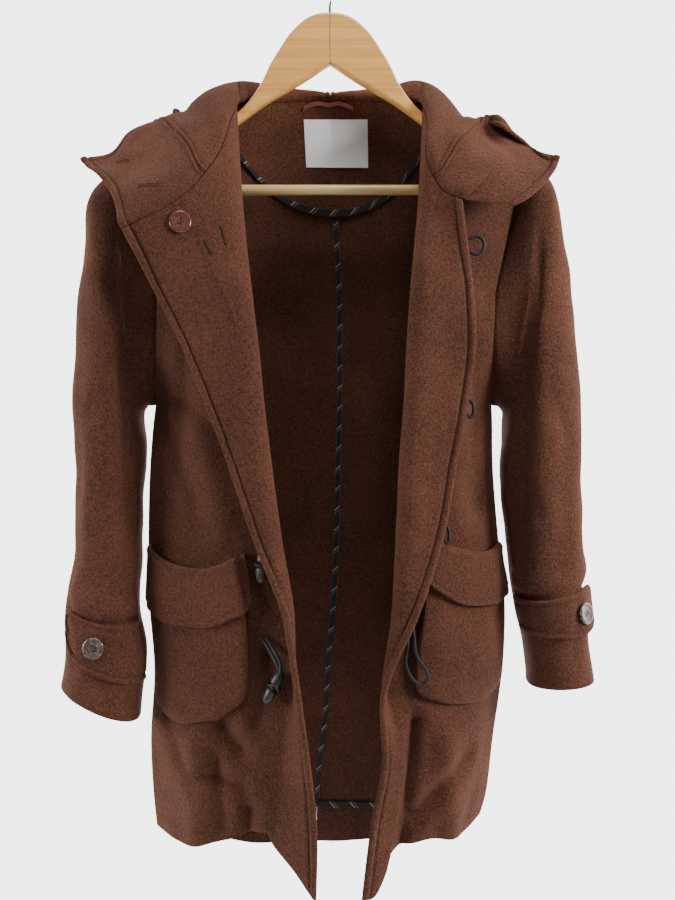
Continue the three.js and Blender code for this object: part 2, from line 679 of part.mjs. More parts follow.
const sleeveGrid = {};
[RIGHT, LEFT].forEach((side) => {
  const name = side === RIGHT ? 'right' : 'left';
  add(`sleeve_${name}`, panel(sleeves[side], SLEEVE_ANGLES, SLEEVE_ROWS, SKIN, SKIN + CLOTH, true), wool);
  const closed = [...SLEEVE_ANGLES, 360];
  sleeveGrid[side] = gridOf((angle, ring) => sleeves[side](angle % 360, ring), closed, SLEEVE_ROWS);
});

// Cuff tabs: straps across the front of each cuff, buttoned at the outer end.
// columns: angles of the two ends, rings of the middle line at the two ends, half width, angle of
// the button, and how far the free tip stands off the sleeve
const CUFF_TAB = {
  [RIGHT]: { angles: [38, 172], rings: [9.5, 9.85], half: [0.36, 0.52], button: 90, tip: 1 },
  [LEFT]: { angles: [-6, 172], rings: [9.45, 9.1], half: [0.3, 0.44], button: 45, tip: 8 },
};
const TAB_SAG = 0.16;        // how far the middle line hangs down in front, in rings
const TIP_REACH = 0.22;      // the part of a tab's length that lifts off
const BUTTON = { radius: 12, thick: 3.4 };
const BUTTON_STAND = 0.5;    // gap under a button on a cuff

// A four-hole button as a solid of revolution about +Z, with a raised rim. The holes are shallow.
function buttonGeometry(radius, thick) {
  const profile = [[0, 0], [radius - 1.2, 0], [radius, 1.1], [radius, 2], [radius - 1.2, thick],
    [radius - 3, thick - 0.9], [0, thick - 0.9]];
  return new THREE.LatheGeometry(profile.map(([r, h]) => new THREE.Vector2(r, h)), 16)
    .rotateX(Math.PI / 2);
}

// Puts a piece made about +Z on a surface, standing along its normal.
function seat(geometry, at, normal, gap) {
  const up = new THREE.Vector3(0, 0, 1);
  const turn = new THREE.Quaternion().setFromUnitVectors(up, normal.clone().normalize());
  return geometry.applyQuaternion(turn).translate(...at.clone().addScaledVector(normal, gap).toArray());
}

const TAB_FACE = OVER + CLOTH + 0.5;
[RIGHT, LEFT].forEach((side) => {
  const name = side === RIGHT ? 'right' : 'left';
  const { angles, rings, half, button, tip } = CUFF_TAB[side];
  const reach = (angle) => (angle - angles[0]) / (angles[1] - angles[0]);
  const widthAt = (k) => mix(half[0], half[1], Math.min(1, Math.sqrt(k * 7)));
  const tabPoint = (angle, b) => {
    const k = reach(angle);
    const ring = mix(rings[0], rings[1], k) + TAB_SAG * Math.sin(k * Math.PI) + b * widthAt(k);
    return sleeveGrid[side]((angle + 360) % 360, ring);
  };
  const lines = [angles[0], ...SLEEVE_ANGLES.filter((a) => a > angles[0] && a < angles[1]), angles[1]];
  const lift = (angle) => tip * Math.max(0, 1 - reach(angle) / TIP_REACH) ** 1.6;
  add(`cuff_tab_${name}`, panel(tabPoint, lines, [-1, -0.5, 0, 0.5, 1],
    (angle) => OVER + 0.5 + lift(angle), (angle) => TAB_FACE + lift(angle)), wool);
  const spot = tabPoint(button, 0);
  const disc = buttonGeometry(BUTTON.radius, BUTTON.thick);
  add(`cuff_button_${name}`, seat(disc, spot.at, spot.normal, TAB_FACE + BUTTON_STAND), buttonHorn);
});

// Hood. Each side runs along the neck seam, from the centre back over the shoulder to the
// front, and across it from the seam to the edge of the hood's opening. It stands up at the
// neck, falls behind the back as a bag and comes up again.
// Rows are stations along the neck seam. Columns hold down, out and forward.
const HOOD_BACK = [
  { crest: [141, 0, -46], fold: [285, 0, -69], bottom: [425, 0, -86],
    rise: [290, 0, -110], face: [170, 0, -98] },
  { crest: [137, 66, -39], fold: [275, 82, -68], bottom: [400, 84, -86],
    rise: [280, 100, -106], face: [170, 94, -92] },
  { crest: [140, 112, -15], fold: [208, 143, -52], bottom: [290, 160, -80],
    rise: [236, 168, -90], face: [182, 160, -66] },
];
const HOOD_FRONT = {
  [RIGHT]: [
    { crest: [157, 148, 2], fold: [164, 165, -16], bottom: [176, 179, -36],
      rise: [172, 186, -42], face: [166, 186, -31] },
    { crest: [214, 146, 40], fold: [194, 164, 22], bottom: [184, 176, 6],
      rise: [181, 183, -4], face: [178, 189, -14] },
    { crest: [276, 181, 72], fold: [246, 201, 46], bottom: [224, 217, 22],
      rise: [208, 227, 8], face: [207, 236, -4] },
    { crest: [302, 212, 84], fold: [278, 226, 62], bottom: [260, 240, 44],
      rise: [247, 249, 30], face: [237, 256, 17] },
    { crest: [320, 230, 88], fold: [294, 242, 74], bottom: [272, 262, 60],
      rise: [262, 274, 48], face: [252, 283, 41] },
  ],
  [LEFT]: [
    { crest: [171, 143, 2], fold: [182, 158, -18], bottom: [196, 170, -36],
      rise: [194, 176, -42], face: [184, 176, -30] },
    { crest: [224, 134, 42], fold: [202, 152, 22], bottom: [191, 164, 6],
      rise: [190, 174, -8], face: [194, 180, -12] },
    { crest: [258, 156, 60], fold: [236, 174, 36], bottom: [218, 187, 11],
      rise: [188, 197, 6], face: [209, 198, 24] },
    { crest: [278, 174, 74], fold: [256, 190, 58], bottom: [240, 202, 36],
      rise: [212, 216, 10], face: [226, 221, 30] },
    { crest: [297, 192, 82], fold: [281, 208, 70], bottom: [263, 220, 56],
      rise: [240, 232, 34], face: [243, 238, 42] },
    { crest: [310, 215, 84], fold: [297, 229, 76], bottom: [284, 241, 66],
      rise: [267, 253, 54], face: [250, 261, 42] },
  ],
};
// Where along the neckline each row stands, as a station.
const HOOD_STATIONS = { [RIGHT]: [0, 1, 2, 3, 4, 5, 5.6, 6], [LEFT]: [0, 1, 2, 3, 4, 5, 6, 6.5, 7] };
const HOOD_CORNER = { [LEFT]: [318, 201, 90] };     // lower corner of the left end, past the front's edge
const HOOD_SEAM = 4.42;                             // station of the seam between side and end
const SEAM_GAP = 0.028;                             // gap in station at that seam
const HOOD_WALL = 1.2;                              // half the thickness of the hood's cloth
const PROFILE = ['crest', 'fold', 'bottom', 'rise', 'face'];

// The neck seam: stations 0 to 2 follow the top of the back and 2 to 6 that of the front. rise
// points away from the body's panel, at right angles to its edge.
function neckSeam(side, station) {
  const onBack = station < 2;
  const s = onBack ? station : station + 1;
  if (s > FRONT_GUIDES) {
    const corner = neckSeam(side, FRONT_GUIDES - 1);
    const end = place(side, ...HOOD_CORNER[side]);
    return { ...corner, at: corner.at.clone().lerp(end, s - FRONT_GUIDES) };
  }
  const grid = onBack ? (v, t) => backGrid(side * v, t) : frontGrid[side];
  const high = onBack ? 2 : FRONT_GUIDES;
  const { at, normal } = grid(s, 0);
  const run = grid(Math.min(s + STEP, high), 0).at.sub(grid(Math.max(s - STEP, onBack ? 0 : 3), 0).at);
  const rise = run.cross(normal).normalize();
  if (rise.dot(grid(s, 0.05).at.sub(at)) > 0) rise.negate();
  return { at, normal, rise };
}

const hoods = {};
[RIGHT, LEFT].forEach((side) => {
  const stations = [...HOOD_BACK, ...HOOD_FRONT[side]];
  const guides = PROFILE.map((key) => curveThrough(stations.map((row) => place(side, ...row[key]))));
  const places = HOOD_STATIONS[side];
  const rowOf = (station) => {
    const k = clamp(places.findIndex((v) => v >= station), 1, places.length - 1);
    return k - 1 + (station - places[k - 1]) / (places[k] - places[k - 1]);
  };
  const rows = new Map();
  const rowAt = (station) => {
    if (!rows.has(station)) {
      const { at, rise } = neckSeam(side, station);
      rows.set(station, curveThrough([
        at.clone().addScaledVector(rise, 2.5 * SEAM),
        at.clone().addScaledVector(rise, 7),
        ...guides.map((guide) => along(guide, rowOf(station))),
      ]));
    }
    return rows.get(station);
  };
  const last = places[places.length - 1];
  const surface = (station, w) => along(rowAt(clamp(station, 0, last)), w);
  const point = (station, w) => {
    const normal = normalOf(surface, station, w, [0, last], [0, PROFILE.length + 1], side);
    if (station === 0) normal.setX(0).normalize();
    if (w === 0) {
      const seam = neckSeam(side, station).normal.clone().normalize();
      const above = normalOf(surface, station, 1, [0, last], [0, PROFILE.length + 1], side);
      normal.copy(seam.multiplyScalar(Math.sign(seam.dot(above))));
    }
    return { at: surface(station, w), normal };
  };
  hoods[side] = { point, last };
});

const PROFILE_LINES = [0, 1, 1.5, 2, 2.5, 3, 3.5, 4, 4.35, 4.7, 5, 5.5, 6];
const NECK_STATIONS = [0, 0.5, 1, 1.5, 2, ...FRONT_COLUMNS.filter((s) => s > 3).map((s) => s - 1)];
[RIGHT, LEFT].forEach((side) => {
  const name = side === RIGHT ? 'right' : 'left';
  const { point, last } = hoods[side];
  const sideOfHood = (station, w) => {
    const found = point(station, w);
    if (station === 0) found.at.x += side * SEAM / 2;
    return found;
  };
  const sideStations = [...NECK_STATIONS.filter((k) => k < HOOD_SEAM - 0.1), HOOD_SEAM];
  add(`hood_${name}`, panel(sideOfHood, sideStations, PROFILE_LINES, -HOOD_WALL, HOOD_WALL), wool);
  const extra = last > FRONT_GUIDES - 1 ? [6.25, 6.5, 6.75, last] : [];
  const endStations = [HOOD_SEAM + SEAM_GAP, ...NECK_STATIONS.filter((k) => k > HOOD_SEAM), ...extra]
    .sort((a, b) => a - b);
  add(`hood_end_${name}`, panel(point, endStations,
    PROFILE_LINES.filter((w) => w !== 1.5 && w !== 4.35), -HOOD_WALL, HOOD_WALL), wool);
});

// Neck button on the right facing.
const buttonSpot = frontGrid[RIGHT](6.05, 0.26);
add('neck_button', seat(buttonGeometry(BUTTON.radius, BUTTON.thick), buttonSpot.at,
  buttonSpot.normal.clone().negate(), -INSIDE + 1), buttonHorn);

// Hanging loop: a ribbon standing in a low arch before the neck facing.
const LOOP = { from: -33, to: 28, down: 166, rise: 7, width: 5, thick: 0.8, stand: 3 };
const loopPoint = (a, b) => {
  const out = mix(LOOP.from, LOOP.to, (a + 1) / 2);
  const arch = Math.sqrt(Math.max(0, 1 - a * a));
  const spot = backGrid(out / 62, 0.02);
  const high = -LOOP.down + LOOP.rise * arch - b * LOOP.width;
  const at = new THREE.Vector3(out, spot.at.y - LOOP.stand * (0.6 + arch), high);
  return { at, normal: new THREE.Vector3(0, -1, 0) };
};
const LOOP_LINES = [-1, -0.94, -0.75, -0.4, 0, 0.4, 0.75, 0.94, 1];
add('hanging_loop', panel(loopPoint, LOOP_LINES, unit(1), 0.6, 0.6 + LOOP.thick), ribbon);

// Thongs: leather cords whose two ends are sewn to the outside of a front.
function cordGeometry(points, diameter, steps) {
  const path = curveThrough(points);
  const section = new THREE.Shape();
  for (let k = 0; k < CORD_SIDES; k += 1) {
    const a = (k / CORD_SIDES) * 2 * Math.PI;
    section[k ? 'lineTo' : 'moveTo'](Math.cos(a) * diameter / 2, Math.sin(a) * diameter / 2);
  }
  section.closePath();
  return new THREE.ExtrudeGeometry(section, { steps, extrudePath: path, bevelEnabled: false });
}

// A point over a front's outer cloth: s and t on the panel, height above the cloth, and how far
// it is moved past the panel (down, out).
function over(side, s, t, height, down = 0, out = 0) {
  const { at, normal } = frontGrid[side](s, t);
  return at.clone().addScaledVector(normal, SKIN + CLOTH + height).add(place(side, down, out, 0));
}

// Loops on the left front. The two ends are sewn to the cloth, and the loop reaches past the edge.
// columns: t of the loop's middle, half height of the eye, reach past the edge
const LOOPS = [
  { t: 0.54, half: 10, reach: 17 },
  { t: 3.13, half: 9, reach: 8 },
  { t: 4.92, half: 9, reach: 6 },
];
const SEWN = 5.8;    // s of the sewn ends
const ON_CLOTH = THONG / 2 + SEAM + 0.55;    // height of a thong's middle where it lies on the cloth
const LIFT = ON_CLOTH + 0.5;
LOOPS.forEach(({ t, half, reach }, k) => {
  const arm = (way) => [
    over(LEFT, SEWN, t, ON_CLOTH, way * 3.2),
    over(LEFT, 6.1, t, LIFT, way * 3.6),
    over(LEFT, 6.7, t, LIFT, way * 5),
    over(LEFT, 7, t, LIFT, way * half * 0.8, 3),
    over(LEFT, 7, t, LIFT, way * half, reach * 0.55),
    over(LEFT, 7, t, LIFT, way * half * 0.62, reach * 0.9),
  ];
  const tip = over(LEFT, 7, t, LIFT, 0, reach);
  add(`loop_${k + 1}`, cordGeometry([...arm(-1), tip, ...arm(1).reverse()], THONG, 16), leather);
});
// The lowest loop hangs from behind the turned edge, as a drop.
// columns: down, out, forward
const LOW_LOOP = [
  [802, 94, 92], [815, 102.5, 92], [827.5, 106, 91], [833, 99.5, 90], [828.5, 91, 90], [812, 82.5, 91],
];
add('loop_4', cordGeometry([
  over(LEFT, 6.5, 6.12, ON_CLOTH), over(LEFT, 6.95, 6.2, LIFT), ...LOW_LOOP.map((p) => place(LEFT, ...p)),
  over(LEFT, 6.95, 6.38, LIFT), over(LEFT, 6.5, 6.28, ON_CLOTH),
], THONG, 20), leather);

// Toggles of the right front: a tapered horn bar, waisted in the middle, where its thong ties it.
// columns: middle of the bar (down, out, forward), lean of the bar (down, out, forward), and the
// thong's points from the sewn end to the bar and back
const TOGGLE = { length: 40, radius: 6.5, end: 4.4, waist: 4.5 };
const TOGGLES = [
  { middle: [372, 176, 70.5], lean: [1, 0.25, 0], thong: [[360, 140, 75], [366, 150, 74], [370, 161, 72.5]] },
  { middle: [550, 101, 73.1], lean: [1, 0.2, 0], thong: [[545, 86, 76], [547, 88, 76], [549, 92, 75]] },
  { middle: [706, 73, 78], lean: [1, 0.1, 0], thong: [[700, 55, 79], [703, 58.5, 79], [705, 62, 79]] },
  {
    middle: [837.5, 60, 83.5],
    lean: [0.88, 0.47, 0.02],
    thong: [[787, 72, 72.9], [793, 67, 76.5], [803, 59, 87], [813, 53, 94.5], [823, 52.5, 96.5], [832, 57, 95]],
  },
];

// A toggle: a spindle with a waist, given as radius and share of the half length.
function toggleGeometry() {
  const { length, radius, end, waist } = TOGGLE;
  const half = [[waist, 0.15], [radius, 0.42], [radius * 0.88, 0.8], [end, 0.96], [0, 1]];
  const profile = [...half.map(([r, k]) => [r, -k]).reverse(), ...half];
  return new THREE.LatheGeometry(profile.map(([r, k]) => new THREE.Vector2(r, k * length / 2)), 12);
}

TOGGLES.forEach(({ middle, lean, thong }, k) => {
  const centre = place(RIGHT, ...middle);
  const axis = place(RIGHT, ...lean).normalize();
  const turn = new THREE.Quaternion().setFromUnitVectors(new THREE.Vector3(0, 1, 0), axis);
  add(`toggle_${k + 1}`, toggleGeometry().applyQuaternion(turn).translate(...centre.toArray()), horn);
  // The thong runs to the waist in front, round it and back behind its first strand.
  const strand = thong.map((p) => place(RIGHT, ...p));
  const across = strand[strand.length - 1].clone().sub(centre);
  across.addScaledVector(axis, -across.dot(axis)).normalize();
  const ahead = axis.clone().cross(across);
  if (ahead.y > 0) ahead.negate();
  const ring = TOGGLE.waist + THONG / 2 + 3 * SEAM;
  const round = [60, 110, 160, 200, 250, 300].map((a) => centre.clone()
    .addScaledVector(across, ring * Math.cos(degrees(a)))
    .addScaledVector(ahead, ring * Math.sin(degrees(a))));
  // The two strands lie side by side on the cloth and one before the other at the bar.
  const beside = strand[strand.length - 1].clone().sub(strand[0]).cross(new THREE.Vector3(0, 1, 0)).normalize();
  const apart = (way) => (p, index) => {
    const turnIn = (index / (strand.length - 1)) ** 2;
    const offset = beside.clone().lerp(ahead, turnIn).normalize();
    return p.clone().addScaledVector(offset, way * (THONG + SEAM) / 2);
  };
  add(`toggle_cord_${k + 1}`, cordGeometry(
    [...strand.map(apart(1)), ...round, ...strand.map(apart(-1)).reverse()], THONG, 22), leather);
});

// Hanger: a wooden wishbone whose arms bend down at their ends, with a dowel between them.
// columns: out, down, from the middle of the top round one arm to the middle of the bottom
const HANGER_OUTLINE = [
  [0, 66], [14, 67.5], [26, 72], [36, 79.5], [48, 92], [60, 110], [71, 128], [80, 147.5], [94, 168.5],
  [112, 186],
  [150, 203.5], [185, 226], [205, 241], [214, 255], [215, 268], [208, 281], [199, 285], [190.5, 280],
  [188, 262], [187, 251], [175, 236], [150, 219], [115, 201.5], [94, 186], [71, 170], [35, 149], [0, 126.5],
];
const HANGER = { thick: 13, round: 3.5 };
const BAR = { radius: 6, half: 188.6, down: 274 };

const outline = HANGER_OUTLINE.map(([out, down]) => new THREE.Vector2(out, -down));
const mirrored = outline.slice(1, -1).reverse().map((p) => new THREE.Vector2(-p.x, p.y));
const hangerBody = new THREE.ExtrudeGeometry(new THREE.Shape([...outline, ...mirrored]), {
  depth: HANGER.thick - 2 * HANGER.round,
  bevelThickness: HANGER.round,
  bevelSize: HANGER.round,
  bevelOffset: -HANGER.round,
  bevelSegments: 2,
});
hangerBody.translate(0, 0, HANGER.round - HANGER.thick / 2).rotateX(Math.PI / 2);
add('hanger_body', hangerBody, beech);

const bar = new THREE.CylinderGeometry(BAR.radius, BAR.radius, 2 * BAR.half, 12);
add('trouser_bar', bar.rotateZ(Math.PI / 2).translate(0, 0, -BAR.down), paleWood);

// Hook: a wire that rises from the top of the wood, bends aside and arches over the rail.
// bend lists the stem's points as x and down, and the arch runs between two angles.
const HOOK = { wire: 3.5, inside: 20, bend: [[0, 65.7], [0, 57], [2.5, 49.5], [8, 43.5]], arch: [-45, 222] };
const hookRadius = HOOK.inside + HOOK.wire / 2;
const stem = HOOK.bend.map(([x, down]) => new THREE.Vector3(x, 0, -down));
const arch = even(...HOOK.arch, 9).map((a) => new THREE.Vector3(
  hookRadius * Math.cos(degrees(a)), 0, hookRadius * Math.sin(degrees(a)) - HOOK.inside));
add('hook', cordGeometry([...stem, ...arch], HOOK.wire, 28), steel);

export default coat;
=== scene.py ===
# %% [markdown]
# # A duffle coat on a wooden hanger
#
# A duffle coat is cut from a heavy felted wool that needs no lining. Here it hangs open on a
# wishbone hanger, its fronts rolled back so that the facings show like lapels. Everything below
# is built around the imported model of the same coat: it gives the frame, and each piece that is
# made here replaces the plain solid of the same name. Every cloth panel is one surface worked out
# from a few rows of sizes, so the panels, their seams and their stitching always agree.

# %% Load the frame
import json

import bpy
import numpy as np
from mathutils import Matrix, Vector

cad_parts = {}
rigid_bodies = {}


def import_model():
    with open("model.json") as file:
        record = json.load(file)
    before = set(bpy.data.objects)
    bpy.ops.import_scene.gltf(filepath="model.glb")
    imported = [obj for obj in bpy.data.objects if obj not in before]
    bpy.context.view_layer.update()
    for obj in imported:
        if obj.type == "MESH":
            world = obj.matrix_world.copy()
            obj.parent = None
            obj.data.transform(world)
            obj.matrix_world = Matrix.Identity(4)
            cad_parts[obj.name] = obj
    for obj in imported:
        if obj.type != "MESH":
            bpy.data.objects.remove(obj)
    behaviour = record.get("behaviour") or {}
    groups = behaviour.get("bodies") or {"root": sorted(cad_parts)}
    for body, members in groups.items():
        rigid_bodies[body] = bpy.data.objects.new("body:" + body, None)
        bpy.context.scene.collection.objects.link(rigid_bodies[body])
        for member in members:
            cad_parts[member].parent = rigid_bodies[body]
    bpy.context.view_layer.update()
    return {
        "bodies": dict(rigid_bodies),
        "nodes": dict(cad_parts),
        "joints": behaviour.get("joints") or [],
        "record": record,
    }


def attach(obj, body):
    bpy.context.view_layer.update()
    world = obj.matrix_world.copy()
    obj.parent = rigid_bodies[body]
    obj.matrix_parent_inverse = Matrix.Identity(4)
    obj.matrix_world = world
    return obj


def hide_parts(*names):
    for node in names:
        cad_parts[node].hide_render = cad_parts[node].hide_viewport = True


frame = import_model()
scene = bpy.context.scene
print("nodes in the frame:", len(frame["nodes"]))

# %% [markdown]
# ## Places and the camera
#
# A place is said the way a tailor would say it: how far down from the rail, how far out from the
# middle, and how far forward. The same row then serves both halves of the coat. Right and left
# are the wearer's. The camera comes first: a level lens one metre in front of the coat, which is
# what gives the photograph its wide look, with the sleeves turned a little away.

# %% Places and the camera
RIGHT, LEFT = -1, 1
SIDES = {"right": RIGHT, "left": LEFT}
MM = 0.001


def place(side, down, out, forward):
    """x grows to the wearer's left, y away from the viewer and z upwards, all in millimetres."""
    parts = np.broadcast_arrays(side * np.asarray(out, float), -np.asarray(forward, float),
                                -np.asarray(down, float))
    return np.stack(parts, axis=-1)


CAMERA_PLACE = (0.0089, -1.0, -0.581)
LENS = 33.88          # mm, for a 36 mm sensor along the photograph's height
lens = bpy.data.cameras.new("camera")
lens.lens = LENS
lens.sensor_width = 36
camera = bpy.data.objects.new("camera", lens)
camera.location = CAMERA_PLACE
camera.rotation_euler = (np.pi / 2, 0, 0)
scene.collection.objects.link(camera)
scene.camera = camera
print("camera at", CAMERA_PLACE, "lens", LENS)

# %% [markdown]
# ## Smooth curves through a few points
#
# A pattern cutter draws a long curve through a few marks with a bent ruler. The centripetal
# Catmull-Rom curve does the same: it passes through every mark and doesn't overshoot where marks
# lie close together. It is worked out here for whole arrays at once, so that one call gives every
# point of a panel.

# %% Curves


def smooth(marks, index):
    """Points of a smooth curve through the marks at fractional indices. Between two marks it is a
    cubic whose slopes come from the neighbours, weighed by the square root of their distance.
    marks is (n, ..., 3). index is one list for every curve, or one list for each of them."""
    marks = np.asarray(marks, float)
    index = np.clip(np.asarray(index, float), 0, len(marks) - 1)
    padded = np.concatenate([[2 * marks[0] - marks[1]], marks, [2 * marks[-1] - marks[-2]]])
    k = np.minimum(index.astype(int), len(marks) - 2)
    if index.ndim == 1:
        a, b, c, d = (padded[k + step] for step in range(4))
        w = (index - k).reshape((-1,) + (1,) * (marks.ndim - 1))
    else:
        across = np.arange(marks.shape[1])
        a, b, c, d = (padded[k + step, across] for step in range(4))
        w = (index - k)[..., None]
    near, mid, far = (np.maximum(np.linalg.norm(q - p, axis=-1, keepdims=True) ** 0.5, 1e-4)
                      for p, q in ((a, b), (b, c), (c, d)))
    start = mid * ((b - a) / near - (c - a) / (near + mid) + (c - b) / mid)
    end = mid * ((c - b) / mid - (d - b) / (mid + far) + (d - c) / far)
    return b + w * (start + w * (3 * (c - b) - 2 * start - end + w * (2 * (b - c) + start + end)))


def mix(a, b, k):
    return a + (b - a) * k


def unit(v):
    """Vectors brought to length one."""
    return v / np.maximum(np.linalg.norm(v, axis=-1, keepdims=True), 1e-9)


def bell(x, width):
    """One at x = 0, falling softly to nothing within about two widths."""
    return np.exp(-(x / width) ** 2)


# %% [markdown]
# ## The body
#
# Each half of the body hangs from a top edge, which runs over the hanger's arm and round the
# neck, and falls through rows of sizes to the hem. The fronts end in a strip that turns forward
# on a roll and lies back on the chest: the lapels.

# %% Sizes of the body
# columns: down, out, forward
BACK_TOP = np.array([(158, 0, -32), (161, 62, -24), (173.5, 112, 0), (210, 170, 0), (249, 225, 0)], float)
FRONT_TOP = {
    RIGHT: np.array([(249, 225, 0), (220.5, 185, 0), (196.5, 150, 0), (173.5, 112, 0),
                     (206, 114, 32), (252, 124, 57), (310, 163, 84), (345, 222, 95)], float),
    LEFT: np.array([(249, 225, 0), (220.5, 185, 0), (196.5, 150, 0), (173.5, 112, 0),
                    (206, 112, 30), (262, 110, 57), (296, 124, 71), (310, 144, 84)], float),
}
BACK_EASE = (0.8, 0.75, 0.5, 0.45, 0.45)
FRONT_EASE = (0.45, 0.45, 0.5, 0.8, 0.95, 1, 1, 1)

# columns: down, side of the right half, side of the left half, armhole forward, back forward, seam out
BODY = np.array([
    (400, 196, 188, 38, -57, 12),
    (465, 198, 186, 33, -58, 12),
    (527, 205, 190, 0, -58, 12),
    (600, 211, 191, 0, -58, 10),
    (680, 213, 197, 0, -58, 8),
    (760, 212, 205, 0, -59, 5),
    (840, 206, 202, 0, -60, -2),
    (920, 210, 191, 0, -60, -7),
    (985, 207, 183, 0, -58, -15),
    (1030, 203, 176, 0, -56, -18),
], float)
HEM = len(BODY)
UNDERARM = 3

# columns: innermost reach, forward place of the roll's start, radius, turn in degrees, strip beyond
ROLL = {
    RIGHT: [(87, 66, 11, 188, 97), (79, 66, 11, 190, 72), (73, 66, 11, 190, 52), (64, 66, 11, 190, 33),
            (53, 68, 11, 184, 17), (39.5, 72, 11, 140, 8), (32.5, 74, 12, 78, 24), (20, 74, 14, 48, 38),
            (13, 72, 16, 34, 48), (14, 70, 16, 28, 52)],
    LEFT: [(90.5, 66, 11, 186, 54), (86, 66, 11, 186, 62), (83, 66, 11, 188, 57), (77.5, 66, 11, 190, 49),
           (74, 66, 11, 188, 37), (69.5, 68, 11, 170, 18), (58.5, 72, 12, 92, 16), (57, 74, 13, 42, 24),
           (45, 74, 13, 32, 26), (35, 74, 13, 26, 28)],
}
BACK_DROP = {RIGHT: (40, 37, 28, 12, -6), LEFT: (40, 34, 20, 0, -20)}
FRONT_DROP = {RIGHT: (-6, -3, -16, -28, -20, -14, 8, 35), LEFT: (-20, -14, -20, -8, 4, 14, 36, 36)}

# columns: from (down, out), to (down, out), depth, width
FRONT_FOLDS = {
    RIGHT: [(420, 150, 640, 182, -7, 13), (560, 150, 670, 120, 5, 15), (884, 118, 912, 98, -9, 10),
            (955, 96, 946, 140, -8, 10), (905, 150, 1030, 150, 8, 16), (980, 88, 1030, 92, -11, 11),
            (800, 66, 880, 78, -6, 10), (540, 196, 640, 150, -5, 8), (520, 180, 560, 120, -4, 7),
            (700, 205, 780, 190, -5, 8), (890, 190, 960, 150, -5, 8), (925, 124, 1000, 118, -6, 9)],
    LEFT: [(430, 165, 640, 160, -7, 12), (560, 128, 668, 150, 5, 13), (925, 152, 984, 92, -10, 11),
           (900, 130, 1030, 140, 8, 15), (880, 92, 1040, 74, -10, 8), (530, 176, 600, 130, -5, 8),
           (560, 186, 650, 168, -4, 7), (700, 195, 790, 182, -5, 8), (930, 178, 1010, 150, -5, 9),
           (300, 172, 430, 160, 5, 8), (300, 190, 440, 182, -6, 8)],
}
# columns: from (down, x), to (down, x), depth, width
BACK_FOLDS = [(430, 130, 760, 120, -5, 22), (450, -135, 700, -110, -5, 22), (760, -70, 1070, -95, 7, 26),
              (800, 60, 1070, 80, 7, 26), (840, 0, 1070, -20, -6, 24), (540, 180, 640, 120, -3, 10),
              (530, -185, 620, -120, -3, 10), (430, 70, 520, 40, -2, 12), (440, -60, 520, -30, -2, 12)]
print("rows in the body:", HEM)

# %% [markdown]
# ## Felted wool moves softly
#
# Heavy felt never hangs perfectly flat. Besides the folds in the tables, every panel gets slow
# waves: a sum of long sine waves in many directions, small enough to leave the outline alone.
# The same waves run through touching pieces, because they are worked out from the place itself.

# %% Slow waves of the cloth
rng = np.random.default_rng(11)
WAVES = [(unit(rng.normal(size=3)) * 2 * np.pi / length, rng.uniform(0, 2 * np.pi), height)
         for length, height in zip(np.geomspace(260, 34, 26), np.geomspace(0.5, 0.16, 26))]


def slow_waves(points):
    """The sum of the sine waves at each point, in millimetres."""
    return sum(height * np.sin(points @ way + phase) for way, phase, height in WAVES)

# %% [markdown]
# ## The body's surfaces
#
# A guide line falls from each mark of the top edge. At first it follows the hanger's arm, moving
# forward quickly and then slowly, like a power of the way down, and then it runs smoothly through
# the rows. A second smooth curve, across the guides, gives the whole panel. Folds are soft troughs
# and ridges along lines, with a bell-shaped section.

# %% Surfaces of the body


def fold_push(folds, down, out):
    """How far the folds push the cloth forward: for each fold a bell over the distance to its line."""
    push = np.zeros_like(down)
    for down0, out0, down1, out1, depth, width in folds:
        run = np.array([down1 - down0, out1 - out0])
        k = np.clip(((down - down0) * run[0] + (out - out0) * run[1]) / (run @ run), 0, 1)
        push += depth * bell(np.hypot(down - down0 - k * run[0], out - out0 - k * run[1]), width)
    return push


def guide_line(top, rows, ease, t):
    """The first stretch mixes top and first row, with forward as a power, and then follows the rows."""
    fall = np.clip(t, 0, 1)
    high = top + (rows[0] - top) * fall[:, None]
    high[:, 1] = mix(top[1], rows[0, 1], fall ** ease)
    return np.where(t[:, None] < 1, high, smooth(rows, t - 1))


def front_rows(side):
    """The stops of every row from the side seam over the chest and round the roll to the edge."""
    rows = []
    for k, (down, right, left, armhole, _, _) in enumerate(BODY):
        inner, start, radius, turn, strip = ROLL[side][k]
        a = np.radians(turn)
        reach = radius if turn >= 90 else radius * np.sin(a) + strip * np.cos(a)
        out, ahead = inner + reach, start + radius
        side_out = right if side == RIGHT else left
        chest = [(mix(side_out, out, c), mix(armhole, start, np.sin(c * np.pi / 2) ** 0.7))
                 for c in (0.28, 0.64)]
        half = (out - radius * np.sin(a / 2), ahead - radius * np.cos(a / 2))
        end = np.array([out - radius * np.sin(a), ahead - radius * np.cos(a)])
        lie = np.array([-np.cos(a), np.sin(a)])
        stops = np.array([(side_out, armhole), *chest, (out, start), half, end, end + lie * strip / 2,
                          end + lie * strip])
        drop = np.array(FRONT_DROP[side]) if k == HEM - 1 else 0
        rows.append(place(side, down + drop, stops[:, 0], stops[:, 1]))
    return np.array(rows)


def back_rows(side):
    """The stops of every row from the centre seam to the side seam, on a flattened arch."""
    across = np.array([0, 0.3, 0.58, 0.82, 1])
    rows = []
    for k, (down, right, left, armhole, back, seam) in enumerate(BODY):
        out = mix(side * seam, right if side == RIGHT else left, across)
        ahead = mix(-armhole, back, np.cos(across * np.pi / 2).clip(0) ** 0.6)
        drop = np.array(BACK_DROP[side]) if k == HEM - 1 else 0
        rows.append(place(side, down + drop, out, ahead))
    return np.array(rows)


